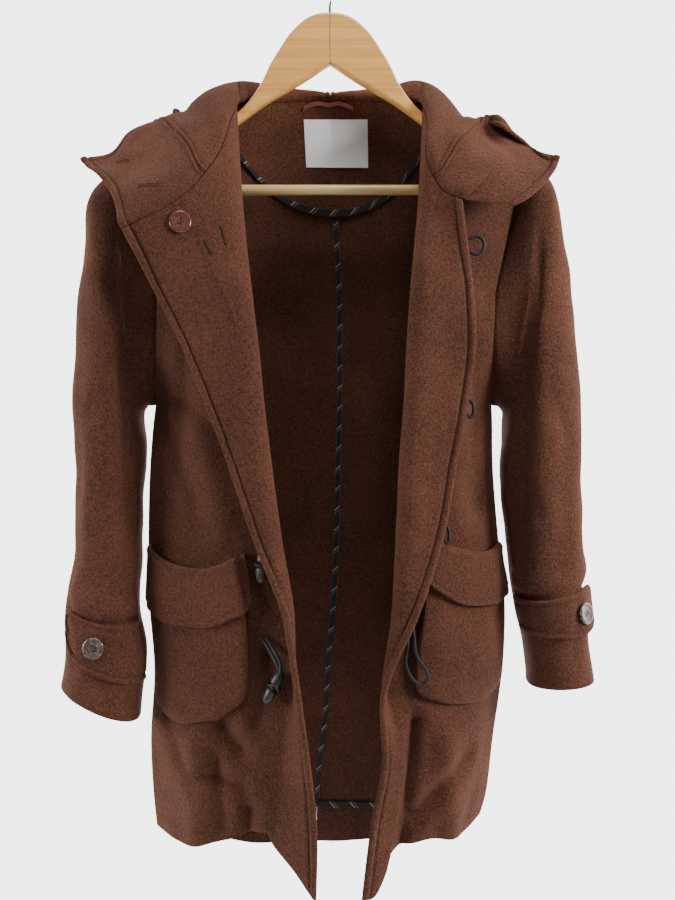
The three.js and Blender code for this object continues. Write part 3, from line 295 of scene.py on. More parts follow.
def surface_of(side, top, rows, ease):
    marks = place(side, top[:, 0], top[:, 1], top[:, 2])

    def guides(t):
        return np.array([guide_line(marks[g], rows[:, g], ease[g], t) for g in range(len(marks))])
    return guides


front_guides = {side: surface_of(side, FRONT_TOP[side], front_rows(side), FRONT_EASE) for side in (RIGHT, LEFT)}
back_guides = {side: surface_of(side, BACK_TOP, back_rows(side), BACK_EASE) for side in (RIGHT, LEFT)}


def front_surface(side, s, t):
    """Grid of the front: s counts guides from the side seam (0) over the neck point (3) and the
    roll (4) to the front edge (7), and t runs from the top edge (0) to the hem (10)."""
    s, t = np.atleast_1d(np.asarray(s, float)), np.atleast_1d(np.asarray(t, float))
    grid = smooth(front_guides[side](t), s)
    column = s if s.ndim == 2 else s[:, None]
    fade = np.clip(column, 0, 1) * np.clip(4 - column, 0, 1) * np.clip(t - 1, 0, 1)
    grid[..., 1] -= fade * fold_push(FRONT_FOLDS[side], -grid[..., 2], side * grid[..., 0])
    seam = smooth(front_guides[side](np.zeros(1)), s if s.ndim == 1 else s[:, 0])[..., 1]
    grid[..., 1] -= np.where(column <= 3, seam, 0) * np.clip(1 - t / 0.1, 0, 1)
    edge = front_guides[side](t)[0][:, 1]
    grid[..., 1] -= np.where(t > UNDERARM, edge, 0) * np.clip(1 - column / 0.6, 0, 1)
    grid[..., 1] -= np.clip(column / 0.5, 0, 1) * np.clip(t / 0.6, 0, 1) * slow_waves(grid)
    return grid


def back_surface(q, t):
    """Grid of the back: q runs from the right side seam (-4) over the centre (0) to the left (4)."""
    q, t = np.atleast_1d(np.asarray(q, float)), np.atleast_1d(np.asarray(t, float))
    both = {}
    for side in (RIGHT, LEFT):
        guides = back_guides[side](t)
        s = np.abs(q)
        grid = smooth(guides, s)
        fade = np.clip(4 - s, 0, 1)[:, None] * np.clip(t - 1, 0, 1)
        grid[..., 1] -= fade * fold_push(BACK_FOLDS, -grid[..., 2], grid[..., 0])
        seam = smooth(back_guides[side](np.zeros(1)), s)[..., 1]
        grid[..., 1] -= np.where(s >= 2, seam[:, 0], 0)[:, None] * np.clip(1 - t / 0.1, 0, 1)
        edge = guides[4][:, 1]
        grid[..., 1] -= np.where(t > UNDERARM, edge, 0) * np.clip((s - 3.4) / 0.6, 0, 1)[:, None]
        grid[..., 1] -= (np.clip((4 - s) / 0.5, 0, 1)[:, None] * np.clip(t / 0.6, 0, 1)) * slow_waves(grid)
        both[side] = grid
    return np.where((q < 0)[:, None, None], both[RIGHT], both[LEFT])


print("chest of the right front:", front_surface(RIGHT, [2], [2])[0, 0].round(1))

# %% [markdown]
# ## Seams
#
# Where two panels are sewn together, both must stand at the same angle, or their thickness would
# cross. Along the armhole the angle turns from straight up at the shoulder to straight down
# under the arm. The share of the way round it is measured along the edge, as a tailor would with
# a tape, so the sleeve's head and the body's edge meet point for point.

# %% Seams
ARM_STEPS = np.array([0, 0.02, 0.09, 0.28, 0.6, 1, 1.5, 2, 2.5, UNDERARM])


def side_edge(side, facing, t):
    """The panel's edge beside the sleeve, in front (facing 1) or behind (facing -1)."""
    if facing > 0:
        return front_surface(side, [0.0], t)[0]
    return back_surface([4.0 * side], t)[0]


def tape(line):
    """Length along a line of points, from its first."""
    steps = np.linalg.norm(np.diff(line, axis=0), axis=-1)
    return np.concatenate([[0], np.cumsum(steps)])


SHARES = {}
for side in (RIGHT, LEFT):
    for facing in (1, -1):
        lengths = tape(side_edge(side, facing, ARM_STEPS))
        SHARES[side, facing] = lengths / lengths[-1]


def armhole_normal(side, facing, share):
    """Up at the shoulder, forward or back halfway round, and down under the arm."""
    a = share * np.pi
    return unit(np.stack([side * (0.6 * np.abs(np.cos(a)) + 0.1), -facing * np.sin(a), np.cos(a)], -1))


def seam_normal(side, facing, t):
    """The angle of the cloth along the whole side edge, armhole and side seam."""
    share = np.interp(t, ARM_STEPS, SHARES[side, facing])
    low = np.clip((t - UNDERARM) / 0.4, 0, 1)[:, None]
    flat = np.broadcast_to([side, 0.0, 0.0], (len(t), 3))
    return unit(mix(armhole_normal(side, facing, share), flat, low))


def shoulder_normal(side):
    return unit(np.array([side * 0.6, 0, 1.0]))


# %% Measures of a grid


def normals_of(grid, turn):
    """Across the columns crossed with down the rows."""
    across = np.gradient(grid, axis=0)
    down = np.gradient(grid, axis=1)
    return unit(np.cross(across, down)) * turn


def lengths_along(grid, axis):
    """Distance from the first line and to the last line, along the columns or the rows."""
    steps = np.linalg.norm(np.diff(grid, axis=axis), axis=-1)
    zero = np.zeros_like(np.take(steps, [0], axis=axis))
    run = np.concatenate([zero, np.cumsum(steps, axis=axis)], axis=axis)
    return run, np.take(run, [-1], axis=axis) - run


def rounded(distance, radius):
    """Height of a quarter-round edge: nothing at the edge and one beyond the radius."""
    return np.sqrt(1 - (1 - np.clip(distance / radius, 0, 1)) ** 2)


# %% [markdown]
# ## A panel that can be read anywhere
#
# Pockets, bindings and stitches all lie on a panel. So each panel keeps a fine table of its
# places and normals, and anything that lies on it reads the table at its own s and t.

# %% Panels


class Panel:
    """A surface kept on a fine table of s and t."""

    def __init__(self, surface, s_lines, t_lines, turn):
        self.s, self.t = np.asarray(s_lines, float), np.asarray(t_lines, float)
        self.points = surface(self.s, self.t)
        self.normals = normals_of(self.points, turn)

    def lean(self, normals, weight):
        """Turns the normals towards others, fully where the weight is one."""
        self.normals = unit(mix(self.normals, normals, weight[..., None]))

    def at(self, s, t):
        """Places and normals at any s and t, mixed from the four corners of the table's cell."""
        s, t = np.broadcast_arrays(np.asarray(s, float), np.asarray(t, float))
        i = np.clip(np.searchsorted(self.s, s) - 1, 0, len(self.s) - 2)
        j = np.clip(np.searchsorted(self.t, t) - 1, 0, len(self.t) - 2)
        u = np.clip((s - self.s[i]) / (self.s[i + 1] - self.s[i]), 0, 1)[..., None]
        v = np.clip((t - self.t[j]) / (self.t[j + 1] - self.t[j]), 0, 1)[..., None]
        found = [mix(mix(table[i, j], table[i, j + 1], v), mix(table[i + 1, j], table[i + 1, j + 1], v), u)
                 for table in (self.points, self.normals)]
        return found[0], unit(found[1])

    def spread(self, s_from, s_to, t, first, last, middle):
        """Values of s, row by row, so that columns lie at set distances in mm from both edges and
        evenly between them."""
        lines = np.linspace(s_from, s_to, 240)
        run, _ = lengths_along(self.at(lines[:, None], t[None, :])[0], 0)
        columns = np.empty((len(first) + middle + len(last), len(t)))
        for row in range(len(t)):
            total = run[-1, row]
            scale = min(1, 0.45 * total / (first[-1] + last[-1]))
            a, b = np.array(first) * scale, total - np.array(last)[::-1] * scale
            marks = np.concatenate([a, np.linspace(a[-1], b[0], middle + 2)[1:-1], b])
            columns[:, row] = np.interp(marks, run[:, row], lines)
        return columns


# %% [markdown]
# ## From a grid to a wall of cloth
#
# A piece of cloth is two faces a small distance apart, closed round its rim. The faces are the
# same grid of points moved along the normal. The distances may vary over the piece, which is how
# an edge is rounded, a seam pressed in, or a line of topstitching sinks into the felt.

# %% Walls
CLOTH = 2.0
SKIN = 0.15
EDGE = (0, 0.25, 0.7, 1.3, 2, 2.8, 4, 5.4, 7, 8.2, 9, 9.8, 10.6, 11.8, 13.5, 16, 20)
SEAM_EDGE = (0, 0.4, 1, 1.8, 2.8, 4, 6, 9, 13)
PIECES = []
CUTS = {}


def mesh_from(name, points, faces, uv=None, material=None, replaces=(), smooth_to=40):
    """A mesh in metres from points in millimetres. Faces are turned so that the mesh is not inside
    out, and edges sharper than smooth_to degrees stay sharp."""
    points = np.asarray(points, float) * MM
    faces = np.asarray(faces)
    a, b, c = points[faces[:, 0]], points[faces[:, 1]], points[faces[:, 2]]
    volume = np.einsum("ij,ij->i", a, np.cross(b, c)).sum()
    if faces.shape[1] == 4:
        volume += np.einsum("ij,ij->i", a, np.cross(c, points[faces[:, 3]])).sum()
    if volume < 0:
        faces = faces[:, ::-1]
    mesh = bpy.data.meshes.new(name)
    mesh.from_pydata(points.tolist(), [], faces.tolist())
    if uv is not None:
        layer = mesh.uv_layers.new(name="cloth")
        layer.data.foreach_set("uv", np.asarray(uv, float)[faces.reshape(-1)].astype(np.float32).reshape(-1))
    mesh.polygons.foreach_set("use_smooth", np.ones(len(faces), bool))
    mesh.set_sharp_from_angle(angle=np.radians(smooth_to))
    mesh.update()
    thing = bpy.data.objects.new(name, mesh)
    scene.collection.objects.link(thing)
    if material is not None:
        mesh.materials.append(material)
    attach(thing, "root")
    if replaces:
        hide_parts(*replaces)
    PIECES.append(thing)
    return thing


def wall_faces(columns, rows, ring=False):
    """Quads of the two faces and of the rim of a wall whose faces are grids of columns by rows."""
    ids = np.arange(columns * rows).reshape(columns, rows)
    if ring:
        ids = np.concatenate([ids, ids[:1]])
    near = np.stack([ids[:-1, :-1], ids[1:, :-1], ids[1:, 1:], ids[:-1, 1:]], -1).reshape(-1, 4)
    far = near[:, ::-1] + columns * rows
    rims = []
    lines = [(ids[:, 0], 1), (ids[:, -1], -1)]
    if not ring:
        lines += [(ids[0], -1), (ids[-1], 1)]
    for line, way in lines:
        quad = np.stack([line[:-1], line[:-1] + columns * rows, line[1:] + columns * rows, line[1:]], -1)
        rims.append(quad[:, ::way])
    return np.concatenate([near, far, *rims])


def wall(name, near, far, material, replaces=(), ring=False, uv=None, smooth_to=40):
    """A closed wall between two grids of points. Its cut is kept: width, length and area in metres."""
    outline = np.concatenate([far, far[:1]]) if ring else far
    across, down = np.diff(outline, axis=0)[:, :-1], np.diff(outline, axis=1)[:-1]
    area = np.linalg.norm(np.cross(across, down), axis=-1).sum()
    width, length = lengths_along(outline, 0)[0].max(), lengths_along(outline, 1)[0].max()
    CUTS[name] = width * MM, length * MM, area * MM ** 2
    points = np.concatenate([near.reshape(-1, 3), far.reshape(-1, 3)])
    faces = wall_faces(near.shape[0], near.shape[1], ring)
    if uv is not None:
        uv = np.concatenate([uv.reshape(-1, 2)] * 2) * MM
    return mesh_from(name, points, faces, uv, material, replaces, smooth_to)


print("edge marks:", len(EDGE))

# %% [markdown]
# ## Shader maths
#
# A material is a graph of nodes, but it reads better as a formula. A small class wraps a node's
# socket, so that plus, minus and times add the Math nodes. Any other node comes from one method.

# %% Shader maths


class Value:
    """A socket that can be used in a sum."""

    def __init__(self, tree, socket):
        self.tree, self.socket = tree, socket

    def _math(self, operation, *values, clamp=False):
        node = self.tree.nodes.new("ShaderNodeMath")
        node.operation = operation
        node.use_clamp = clamp
        for k, value in enumerate(values):
            if isinstance(value, Value):
                self.tree.links.new(value.socket, node.inputs[k])
            else:
                node.inputs[k].default_value = value
        return Value(self.tree, node.outputs[0])

    def __add__(self, other):
        return self._math("ADD", self, other)

    def __radd__(self, other):
        return self._math("ADD", other, self)

    def __sub__(self, other):
        return self._math("SUBTRACT", self, other)

    def __rsub__(self, other):
        return self._math("SUBTRACT", other, self)

    def __mul__(self, other):
        return self._math("MULTIPLY", self, other)

    def __rmul__(self, other):
        return self._math("MULTIPLY", other, self)

    def __truediv__(self, other):
        return self._math("DIVIDE", self, other)

    def __mod__(self, other):
        return self._math("FLOORED_MODULO", self, other)

    def __lt__(self, other):
        return self._math("LESS_THAN", self, other)

    def __gt__(self, other):
        return self._math("GREATER_THAN", self, other)

    def absolute(self):
        return self._math("ABSOLUTE", self)

    def ramp(self, low, high):
        """Nothing below low, one above high, and straight between."""
        return self._math("MULTIPLY", self - low, 1 / (high - low), clamp=True)


class Finish:
    """A material being made, with a Principled shader whose plain numbers are set on its sockets."""

    def __init__(self, name, **numbers):
        self.material = bpy.data.materials.new(name)
        self.material.use_nodes = True
        self.tree = self.material.node_tree
        self.shader = next(n for n in self.tree.nodes if n.type == "BSDF_PRINCIPLED")
        for words, value in numbers.items():
            self.shader.inputs[words.replace("_", " ")].default_value = value

    def node(self, kind, output=0, settings=None, **inputs):
        """Adds a node, sets its settings first, and then the values or links of its sockets."""
        node = self.tree.nodes.new(kind)
        for key, value in (settings or {}).items():
            if key == "stops":
                ramp = node.color_ramp
                for k, (at, colour) in enumerate(value):
                    element = ramp.elements[k] if k < len(ramp.elements) else ramp.elements.new(at)
                    element.position, element.color = at, (*colour, 1)
            else:
                setattr(node, key, value)
        for key, value in inputs.items():
            socket = node.inputs[int(key[1:])] if key[0] == "i" and key[1:].isdigit() else node.inputs[key]
            if isinstance(value, Value):
                self.tree.links.new(value.socket, socket)
            else:
                socket.default_value = value
        return Value(self.tree, node.outputs[output])

    def place(self, scale=(1, 1, 1), turn=(0, 0, 0), at=(0, 0, 0), uv=False):
        """Object coordinates in metres, or the piece's own UV map, turned and scaled."""
        source = self.node("ShaderNodeUVMap", settings={"uv_map": "cloth"}) if uv else self.node(
            "ShaderNodeTexCoord", output=3)
        return self.node("ShaderNodeMapping", Vector=source, Scale=scale, Rotation=turn, Location=at)

    def noise(self, scale, detail=3.0, rough=0.55, where=None, distort=0.0):
        return self.node("ShaderNodeTexNoise", Vector=where or self.place(), Scale=scale, Detail=detail,
                         Roughness=rough, Distortion=distort)

    def colours(self, amount, low, high):
        """A colour between two others."""
        return self.node("ShaderNodeMix", output=2, settings={"data_type": "RGBA"}, i0=amount, i6=low, i7=high)

    def bump(self, height, distance, strength=1.0, under=None):
        extra = {"Normal": under} if under else {}
        return self.node("ShaderNodeBump", Height=height, Distance=distance, Strength=strength, **extra)

    def set(self, **links):
        for words, value in links.items():
            self.tree.links.new(value.socket, self.shader.inputs[words.replace("_", " ")])
        return self.material


def rgb(red, green, blue):
    """A colour picked on a screen (0 to 255), as the light that Blender mixes."""
    part = np.array([red, green, blue]) / 255
    linear = np.where(part <= 0.04045, part / 12.92, ((part + 0.055) / 1.055) ** 2.4)
    return (*[float(v) for v in linear], 1.0)


# %% [markdown]
# ## The wool
#
# Duffle cloth is woven and then fulled until the yarns disappear under a short, matted nap. Seen
# close, its colour is a mixture of darker and lighter hairs, its surface is slightly lumpy, and
# light that grazes it catches the hairs, which the shader's sheen stands for. The inside is the
# same cloth, so every panel shares this finish.

# %% The wool


def wool_finish(name, dark, light, hair):
    wool = Finish(name, Roughness=0.95, Sheen_Weight=0.35, Sheen_Roughness=0.45,
                  Sheen_Tint=rgb(176, 118, 96), Specular_IOR_Level=0.15)
    cloudy = wool.noise(14, 3)
    mottled = wool.noise(430, 4, 0.72)
    hairs = wool.noise(1500, 3, 0.75, wool.place(scale=(1, 1, 0.45)))
    amount = (mottled * 0.8 + cloudy * 0.2).ramp(0.38, 0.64)
    base = wool.colours(amount, rgb(*dark), rgb(*light))
    base = wool.colours(hairs.ramp(0.56, 0.72) * 0.5, base, rgb(*hair))
    lumps = wool.bump(wool.noise(430, 4, 0.72), 0.0020, 0.9)
    nap = wool.bump(hairs, 0.0007, 0.7, lumps)
    return wool.set(Base_Color=base, Normal=nap)


WOOL = wool_finish("brown_wool", dark=(52, 31, 22), light=(106, 65, 48), hair=(146, 100, 78))
print("finish made:", WOOL.name)

# %% [markdown]
# ## Fronts, facings and back
#
# The fronts are the outer cloth. Their facings are a second layer inside, from the neck to the
# hem, and it is the facing that shows where the front rolls open. The two are turned out along
# the front edge and topstitched about 9 mm in, which presses a shallow channel into the felt.
# The back is two panels with a seam down the middle.

# %% Tables of the body's panels
TOP_LINES = np.array([0, 0.002, 0.005, 0.01, 0.016, 0.024, 0.034, 0.046, 0.06, 0.08, 0.1, 0.125, 0.155, 0.19,
                      0.23, 0.28, 0.34, 0.4, 0.46])
T_LINES = np.concatenate([TOP_LINES, np.arange(0.52, HEM + 0.01, 0.04)])
STITCH_IN = 9.0        # mm from an edge to its topstitching

fronts = {side: Panel(lambda s, t, side=side: front_surface(side, s, t), np.linspace(0, 7, 281), T_LINES, side)
          for side in (RIGHT, LEFT)}
back = Panel(back_surface, np.linspace(-4, 4, 321), T_LINES, 1)
for side, panel in fronts.items():
    across, _ = lengths_along(panel.points, 0)
    down, _ = lengths_along(panel.points, 1)
    edge = seam_normal(side, 1, T_LINES)[None]
    panel.lean(edge, bell(across, 8))
    on_shoulder = np.clip((side * panel.points[..., 0] - 112) / 10, 0, 1) * (panel.s <= 3.1)[:, None]
    panel.lean(shoulder_normal(side), bell(down, 7) * on_shoulder)
from_right, from_left = lengths_along(back.points, 0)
down, _ = lengths_along(back.points, 1)
for side, across in ((RIGHT, from_right), (LEFT, from_left)):
    back.lean(seam_normal(side, -1, T_LINES)[None], bell(across, 8))
    on_shoulder = np.clip((side * back.points[..., 0] - 105) / 10, 0, 1)
    back.lean(shoulder_normal(side), bell(down, 7) * on_shoulder)
print("front edge of the right front, mm long:", round(tape(fronts[RIGHT].points[-1])[-1]))

# %% The fronts and their facings
HEM_MARKS = HEM - np.array(EDGE)[::-1] / 62
ROWS = np.concatenate([TOP_LINES, np.linspace(0.54, 9.6, 104), HEM_MARKS[HEM_MARKS > 9.62]])


def topstitched(from_edge, swell=1.5, depth=1.5, row=STITCH_IN):
    """The channel that a row of stitches presses into felt, and the swelling beside it."""
    raised = swell * np.sin(np.clip(from_edge / row, 0, 1) * np.pi)
    return raised - depth * bell(from_edge - row, 1.8)


def cloth_uv(points):
    """Lengths across and down, in millimetres."""
    return np.stack([lengths_along(points, 0)[0], lengths_along(points, 1)[0]], -1)


for word, side in SIDES.items():
    s = fronts[side].spread(0, 7, ROWS, SEAM_EDGE, EDGE, 44)
    points, normals = fronts[side].at(s, ROWS[None])
    from_seam, from_edge = lengths_along(points, 0)
    from_top, from_hem = lengths_along(points, 1)
    thick = CLOTH * rounded(from_edge, 2.2) * rounded(from_hem, 2.2)
    thick -= 0.9 * bell(from_seam, 1.8) + 0.9 * bell(from_top, 1.8)
    thick += topstitched(from_edge) * (from_hem > STITCH_IN)
    wall(f"front_{word}_cloth", points + 0.05 * normals, points + (0.1 + thick[..., None]) * normals, WOOL,
         [f"front_{word}"], uv=cloth_uv(points))

    s = fronts[side].spread(3, 7, ROWS, EDGE[:12], EDGE, 34)
    points, normals = fronts[side].at(s, ROWS[None])
    from_inner, from_edge = lengths_along(points, 0)
    from_top, from_hem = lengths_along(points, 1)
    thick = CLOTH * rounded(from_edge, 2.2) * rounded(from_hem, 2.2)
    thin = np.clip(np.maximum((from_inner - 12) / 26, ROWS[None] / 0.3), 0, 1)
    thick *= mix(0.3, 1, thin)
    thick += topstitched(from_edge) * (from_hem > STITCH_IN) - 0.7 * bell(from_top, 1.8) * thin
    wall(f"front_facing_{word}_cloth", points - 0.05 * normals, points - (0.1 + thick[..., None]) * normals,
         WOOL, [f"front_facing_{word}"], uv=cloth_uv(points))

# %% The back
for word, side in SIDES.items():
    q = side * np.abs(back.spread(0, 4 * side, ROWS, SEAM_EDGE, SEAM_EDGE, 50))
    points, normals = back.at(q, ROWS[None])
    from_centre, from_seam = lengths_along(points, 0)
    from_top, from_hem = lengths_along(points, 1)
    thick = CLOTH * rounded(from_hem, 2.2)
    thick -= 0.9 * bell(from_seam, 1.8) + 0.9 * bell(from_top, 1.8) + 0.9 * bell(from_centre, 1.8)
    points[0, :, 0] += side * 0.05
    wall(f"back_{word}_cloth", points + 0.15 * normals, points + (0.15 + thick[..., None]) * normals, WOOL,
         [f"back_{word}"], uv=cloth_uv(points))
print("pieces so far:", len(PIECES))

# %% [markdown]
# ## Sleeves
#
# A sleeve is a tube of tilted rings. Its first ring is the armhole itself, found by the same
# shares along the body's edge, so the sleeve's head fits it. A hanging sleeve falls a little
# forward and folds softly along its length where the arm would bend, in front and behind.

# %% Sizes of the sleeves
# columns: outer (down, out), inner (down, out), half depth, forward
SLEEVE = {
    RIGHT: np.array([
        (255, 244, 529, 215, 42, 2), (264, 262, 537, 220, 45, 3), (283, 276, 552, 221, 47, 4),
        (345, 284, 572, 219, 48, 5), (430, 293, 594, 219, 47, 6), (520, 297, 624, 221, 46, 7),
        (612, 295, 662, 225, 44, 8), (690, 293, 712, 226, 43, 10), (756, 302, 762, 226, 43, 12),
        (806, 304, 818, 217, 44, 14), (853, 308, 892, 223, 45, 14)], float),
    LEFT: np.array([
        (255, 241, 529, 200, 42, 2), (266, 255, 537, 206, 45, 3), (288, 263, 552, 207, 47, 4),
        (346, 272, 574, 206, 48, 5), (428, 283, 596, 205, 47, 6), (522, 289, 634, 204, 46, 7),
        (600, 289, 680, 207, 45, 8), (664, 290, 720, 213, 44, 9), (734, 292, 764, 219, 44, 10),
        (792, 299, 806, 227, 44, 12), (846, 303, 852, 232, 44, 12)], float),
}
CUFF = len(SLEEVE[RIGHT])
# columns: angle at the first and last ring, first ring, last ring, depth, width in degrees
SLEEVE_FOLDS = {
    RIGHT: [(118, 150, 1.5, 8, -10, 20), (52, 40, 4, 9, -4, 22), (235, 222, 2, 7, -7, 22),
            (290, 300, 5, 10, -4, 24), (100, 60, 4.6, 6.2, -3, 9), (128, 92, 5.6, 7.2, -3, 9),
            (80, 96, 1.2, 3.6, -3, 12), (250, 280, 4.2, 6, -3, 9), (30, 60, 8.4, 10.6, -2, 10)],
    LEFT: [(112, 146, 1.5, 8, -9, 20), (60, 75, 5, 9, -4, 22), (240, 218, 2, 7, -7, 22),
           (300, 290, 5, 10, -4, 24), (96, 58, 4.8, 6.4, -3, 9), (130, 96, 6, 7.6, -3, 9),
           (70, 90, 1.2, 3.4, -3, 12), (252, 280, 4.2, 6, -3, 9), (50, 80, 8.8, 10.6, -2, 10)],
}


def armhole(side, angle):
    """The body's edge by angle: 0 at the shoulder, 180 under the arm, the front half first."""
    angle = np.mod(angle, 360)
    share = np.where(angle <= 180, angle, 360 - angle) / 180
    edges = [side_edge(side, facing, np.interp(share, SHARES[side, facing], ARM_STEPS)) for facing in (1, -1)]
    return np.where((angle <= 180)[:, None], *edges)


# columns: angles of a cuff tab's two ends, rings of its middle line there, half widths, angle of
# its button, and how far its free tip stands off the sleeve
CUFF_TAB = {
    RIGHT: ((38, 172), (9.5, 9.85), (0.36, 0.52), 90, 1),
    LEFT: ((-6, 172), (9.45, 9.1), (0.3, 0.44), 45, 8),
}


def tab_ring(side, k):
    """The ring of the tab's middle line, which sags a little in front."""
    rings = CUFF_TAB[side][1]
    return mix(*rings, k) + 0.16 * np.sin(np.pi * k)


def gathered(side, angle, ring):
    """The tab draws the sleeve in: a ridge hangs over a trough along the tab's upper edge."""
    (a0, a1), _, half, _, _ = CUFF_TAB[side]
    turned_to = np.mod(angle + 90, 360)[:, None] - 90
    k = np.clip((turned_to - a0) / (a1 - a0), 0, 1)
    above = ring - (tab_ring(side, k) - mix(*half, k))
    reach = np.clip((turned_to - a0 + 8) / 16, 0, 1) * np.clip((a1 + 6 - turned_to) / 14, 0, 1)
    return reach * (4.5 * bell(above + 0.42, 0.22) - 4 * bell(above + 0.12, 0.1))


def sleeve_surface(side, angle, ring):
    """Rings whose outline is a full oval: the height and width follow the cosine of the angle and
    the depth follows its sine, and a smooth curve down each line of equal angle joins the rings."""
    a = np.radians(angle)
    high = (1 + np.cos(a)) / 2
    depth = np.sign(np.sin(a)) * np.abs(np.sin(a)) ** 0.85
    rings = [armhole(side, angle)]
    for outer_down, outer_out, inner_down, inner_out, half, forward in SLEEVE[side]:
        rings.append(place(side, mix(inner_down, outer_down, high), mix(inner_out, outer_out, high),
                           forward + half * depth))
    grid = np.swapaxes(smooth(np.array(rings), ring), 0, 1)
    push = slow_waves(grid) * np.clip(ring, 0, 1)
    for first, last, low, top, deep, width in SLEEVE_FOLDS[side]:
        k = np.clip((ring - low) / (top - low), 0, 1)
        off = (np.mod(angle[:, None], 360) - mix(first, last, k)) / width
        push += deep * np.sin(k * np.pi).clip(0) ** 0.6 * np.exp(-off ** 2)
    push += gathered(side, angle, ring)
    return grid + normals_of(grid, side) * push[..., None]


# %% The sleeves
RING_LINES = np.concatenate([[0, 0.03, 0.08, 0.15, 0.25, 0.4, 0.6, 0.8], np.arange(1, CUFF + 0.01, 0.1)])
sleeves = {}
for word, side in SIDES.items():
    sleeves[side] = Panel(lambda s, t, side=side: sleeve_surface(side, s, t), np.arange(-9, 370, 3.0),
                          RING_LINES, side)
    angle = np.mod(sleeves[side].s, 360)
    share = np.where(angle <= 180, angle, 360 - angle) / 180
    faces_front = np.where(angle <= 180, 1, -1)
    head = armhole_normal(side, faces_front, share)[:, None]
    down, _ = lengths_along(sleeves[side].points, 1)
    sleeves[side].lean(head, bell(down, 8))

    angles = np.arange(0, 360, 4.0)
    marks = np.array([0, 0.006, 0.014, 0.025, 0.04, 0.06, 0.1, 0.16, 0.25])
    low = CUFF - np.array(EDGE)[::-1] / 55
    rings = np.concatenate([marks, np.linspace(0.34, 10.6, 118), low[low > 10.62]])
    points, normals = sleeves[side].at(angles[:, None], rings[None])
    from_top, from_hem = lengths_along(points, 1)
    thick = CLOTH * rounded(from_hem, 2.4) - 0.9 * bell(from_top, 1.8)
    near = 0.1 - 0.1 * rounded(from_hem, 2.4)
    wall(f"sleeve_{word}_cloth", points + near[..., None] * normals,
         points + (0.15 + thick[..., None]) * normals, WOOL, [f"sleeve_{word}"], ring=True)
print("sleeve length, mm:", round(tape(sleeves[LEFT].at(0, RING_LINES)[0])[-1]))

# %% [markdown]
# ## Leather thongs
#
# A duffle coat closes with a bar on one front and a loop on the other, both held by leather. Each
# thong is a round cord along a smooth curve, and its two ends are sewn down flat on the cloth.
# The points are measured on the coat, as down, out and forward, except where a thong lies on the
# cloth: there they are read off the front's own panel.

# %% Thongs
THONG = 3.6
ON_CLOTH = THONG / 2 + 0.75       # height of a thong's middle over the outer cloth
LEATHER_HUES = dict(dark=rgb(8, 7, 7), light=rgb(34, 30, 28))


def leather_finish():
    leather = Finish("leather_thong", Roughness=0.45, Specular_IOR_Level=0.35)
    grain = leather.noise(900, 4, 0.6)
    wear = leather.noise(120, 3)
    colour = leather.colours((grain * 0.5 + wear * 0.5).ramp(0.42, 0.66), *LEATHER_HUES.values())
    return leather.set(Base_Color=colour, Normal=leather.bump(grain, 0.0008, 0.8))


LEATHER = leather_finish()


def over(side, s, t, height, down=0, out=0):
    """A point over the outer cloth of a front, moved past the panel by down and out."""
    point, normal = fronts[side].at(s, t)
    return point + normal * (SKIN + CLOTH + height) + place(side, down, out, 0)


def thong(node, marks, diameter=THONG):
    """A round cord through the marks, as a curve with 12 short steps from each mark to the next."""
    marks = np.array(marks)
    path = smooth(marks, np.linspace(0, len(marks) - 1, 12 * (len(marks) - 1) + 1)) * MM
    curve = bpy.data.curves.new(f"{node}_leather", "CURVE")
    curve.dimensions = "3D"
    curve.bevel_depth, curve.bevel_resolution, curve.use_fill_caps = diameter / 2 * MM, 3, True
    curve.resolution_u = curve.render_resolution_u = 1
    spline = curve.splines.new("POLY")
    spline.points.add(len(path) - 1)
    spline.points.foreach_set("co", np.column_stack([path, np.ones(len(path))]).reshape(-1))
    curve.materials.append(LEATHER)
    thing = bpy.data.objects.new(f"{node}_leather", curve)
    scene.collection.objects.link(thing)
    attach(thing, "root")
    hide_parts(node)
    PIECES.append(thing)
    return thing


# columns: t of the loop's middle, half height of the eye, reach past the front edge
LOOPS = [(0.54, 10, 17), (3.13, 9, 8), (4.92, 9, 6)]
LIFT = ON_CLOTH + 0.5
for k, (t, half, reach) in enumerate(LOOPS):
    arms = [[over(LEFT, 5.8, t, ON_CLOTH, way * 3.2), over(LEFT, 6.1, t, LIFT, way * 3.6),
             over(LEFT, 6.7, t, LIFT, way * 5), over(LEFT, 7, t, LIFT, way * half * 0.8, 3),
             over(LEFT, 7, t, LIFT, way * half, reach * 0.55),
             over(LEFT, 7, t, LIFT, way * half * 0.62, reach * 0.9)] for way in (-1, 1)]
    thong(f"loop_{k + 1}", [*arms[0], over(LEFT, 7, t, LIFT, 0, reach), *arms[1][::-1]])
# the lowest loop hangs like a drop; columns: down, out, forward
LOW_LOOP = np.array([(802, 94, 92), (815, 102.5, 92), (827.5, 106, 91), (833, 99.5, 90), (828.5, 91, 90),
                     (812, 82.5, 91)])
thong("loop_4", [over(LEFT, 6.5, 6.12, ON_CLOTH), over(LEFT, 6.95, 6.2, LIFT), *place(LEFT, *LOW_LOOP.T),
                 over(LEFT, 6.95, 6.38, LIFT), over(LEFT, 6.5, 6.28, ON_CLOTH)])

# %% [markdown]
# ## Toggles
#
# A toggle is a bar of dark horn, thickest on both sides of its middle, with a waist for the thong.
# The thong comes from the cloth, goes round the waist and runs back under its first strand.

# %% Toggles
TOGGLE_HALF, TOGGLE_WAIST = 20, 4.5
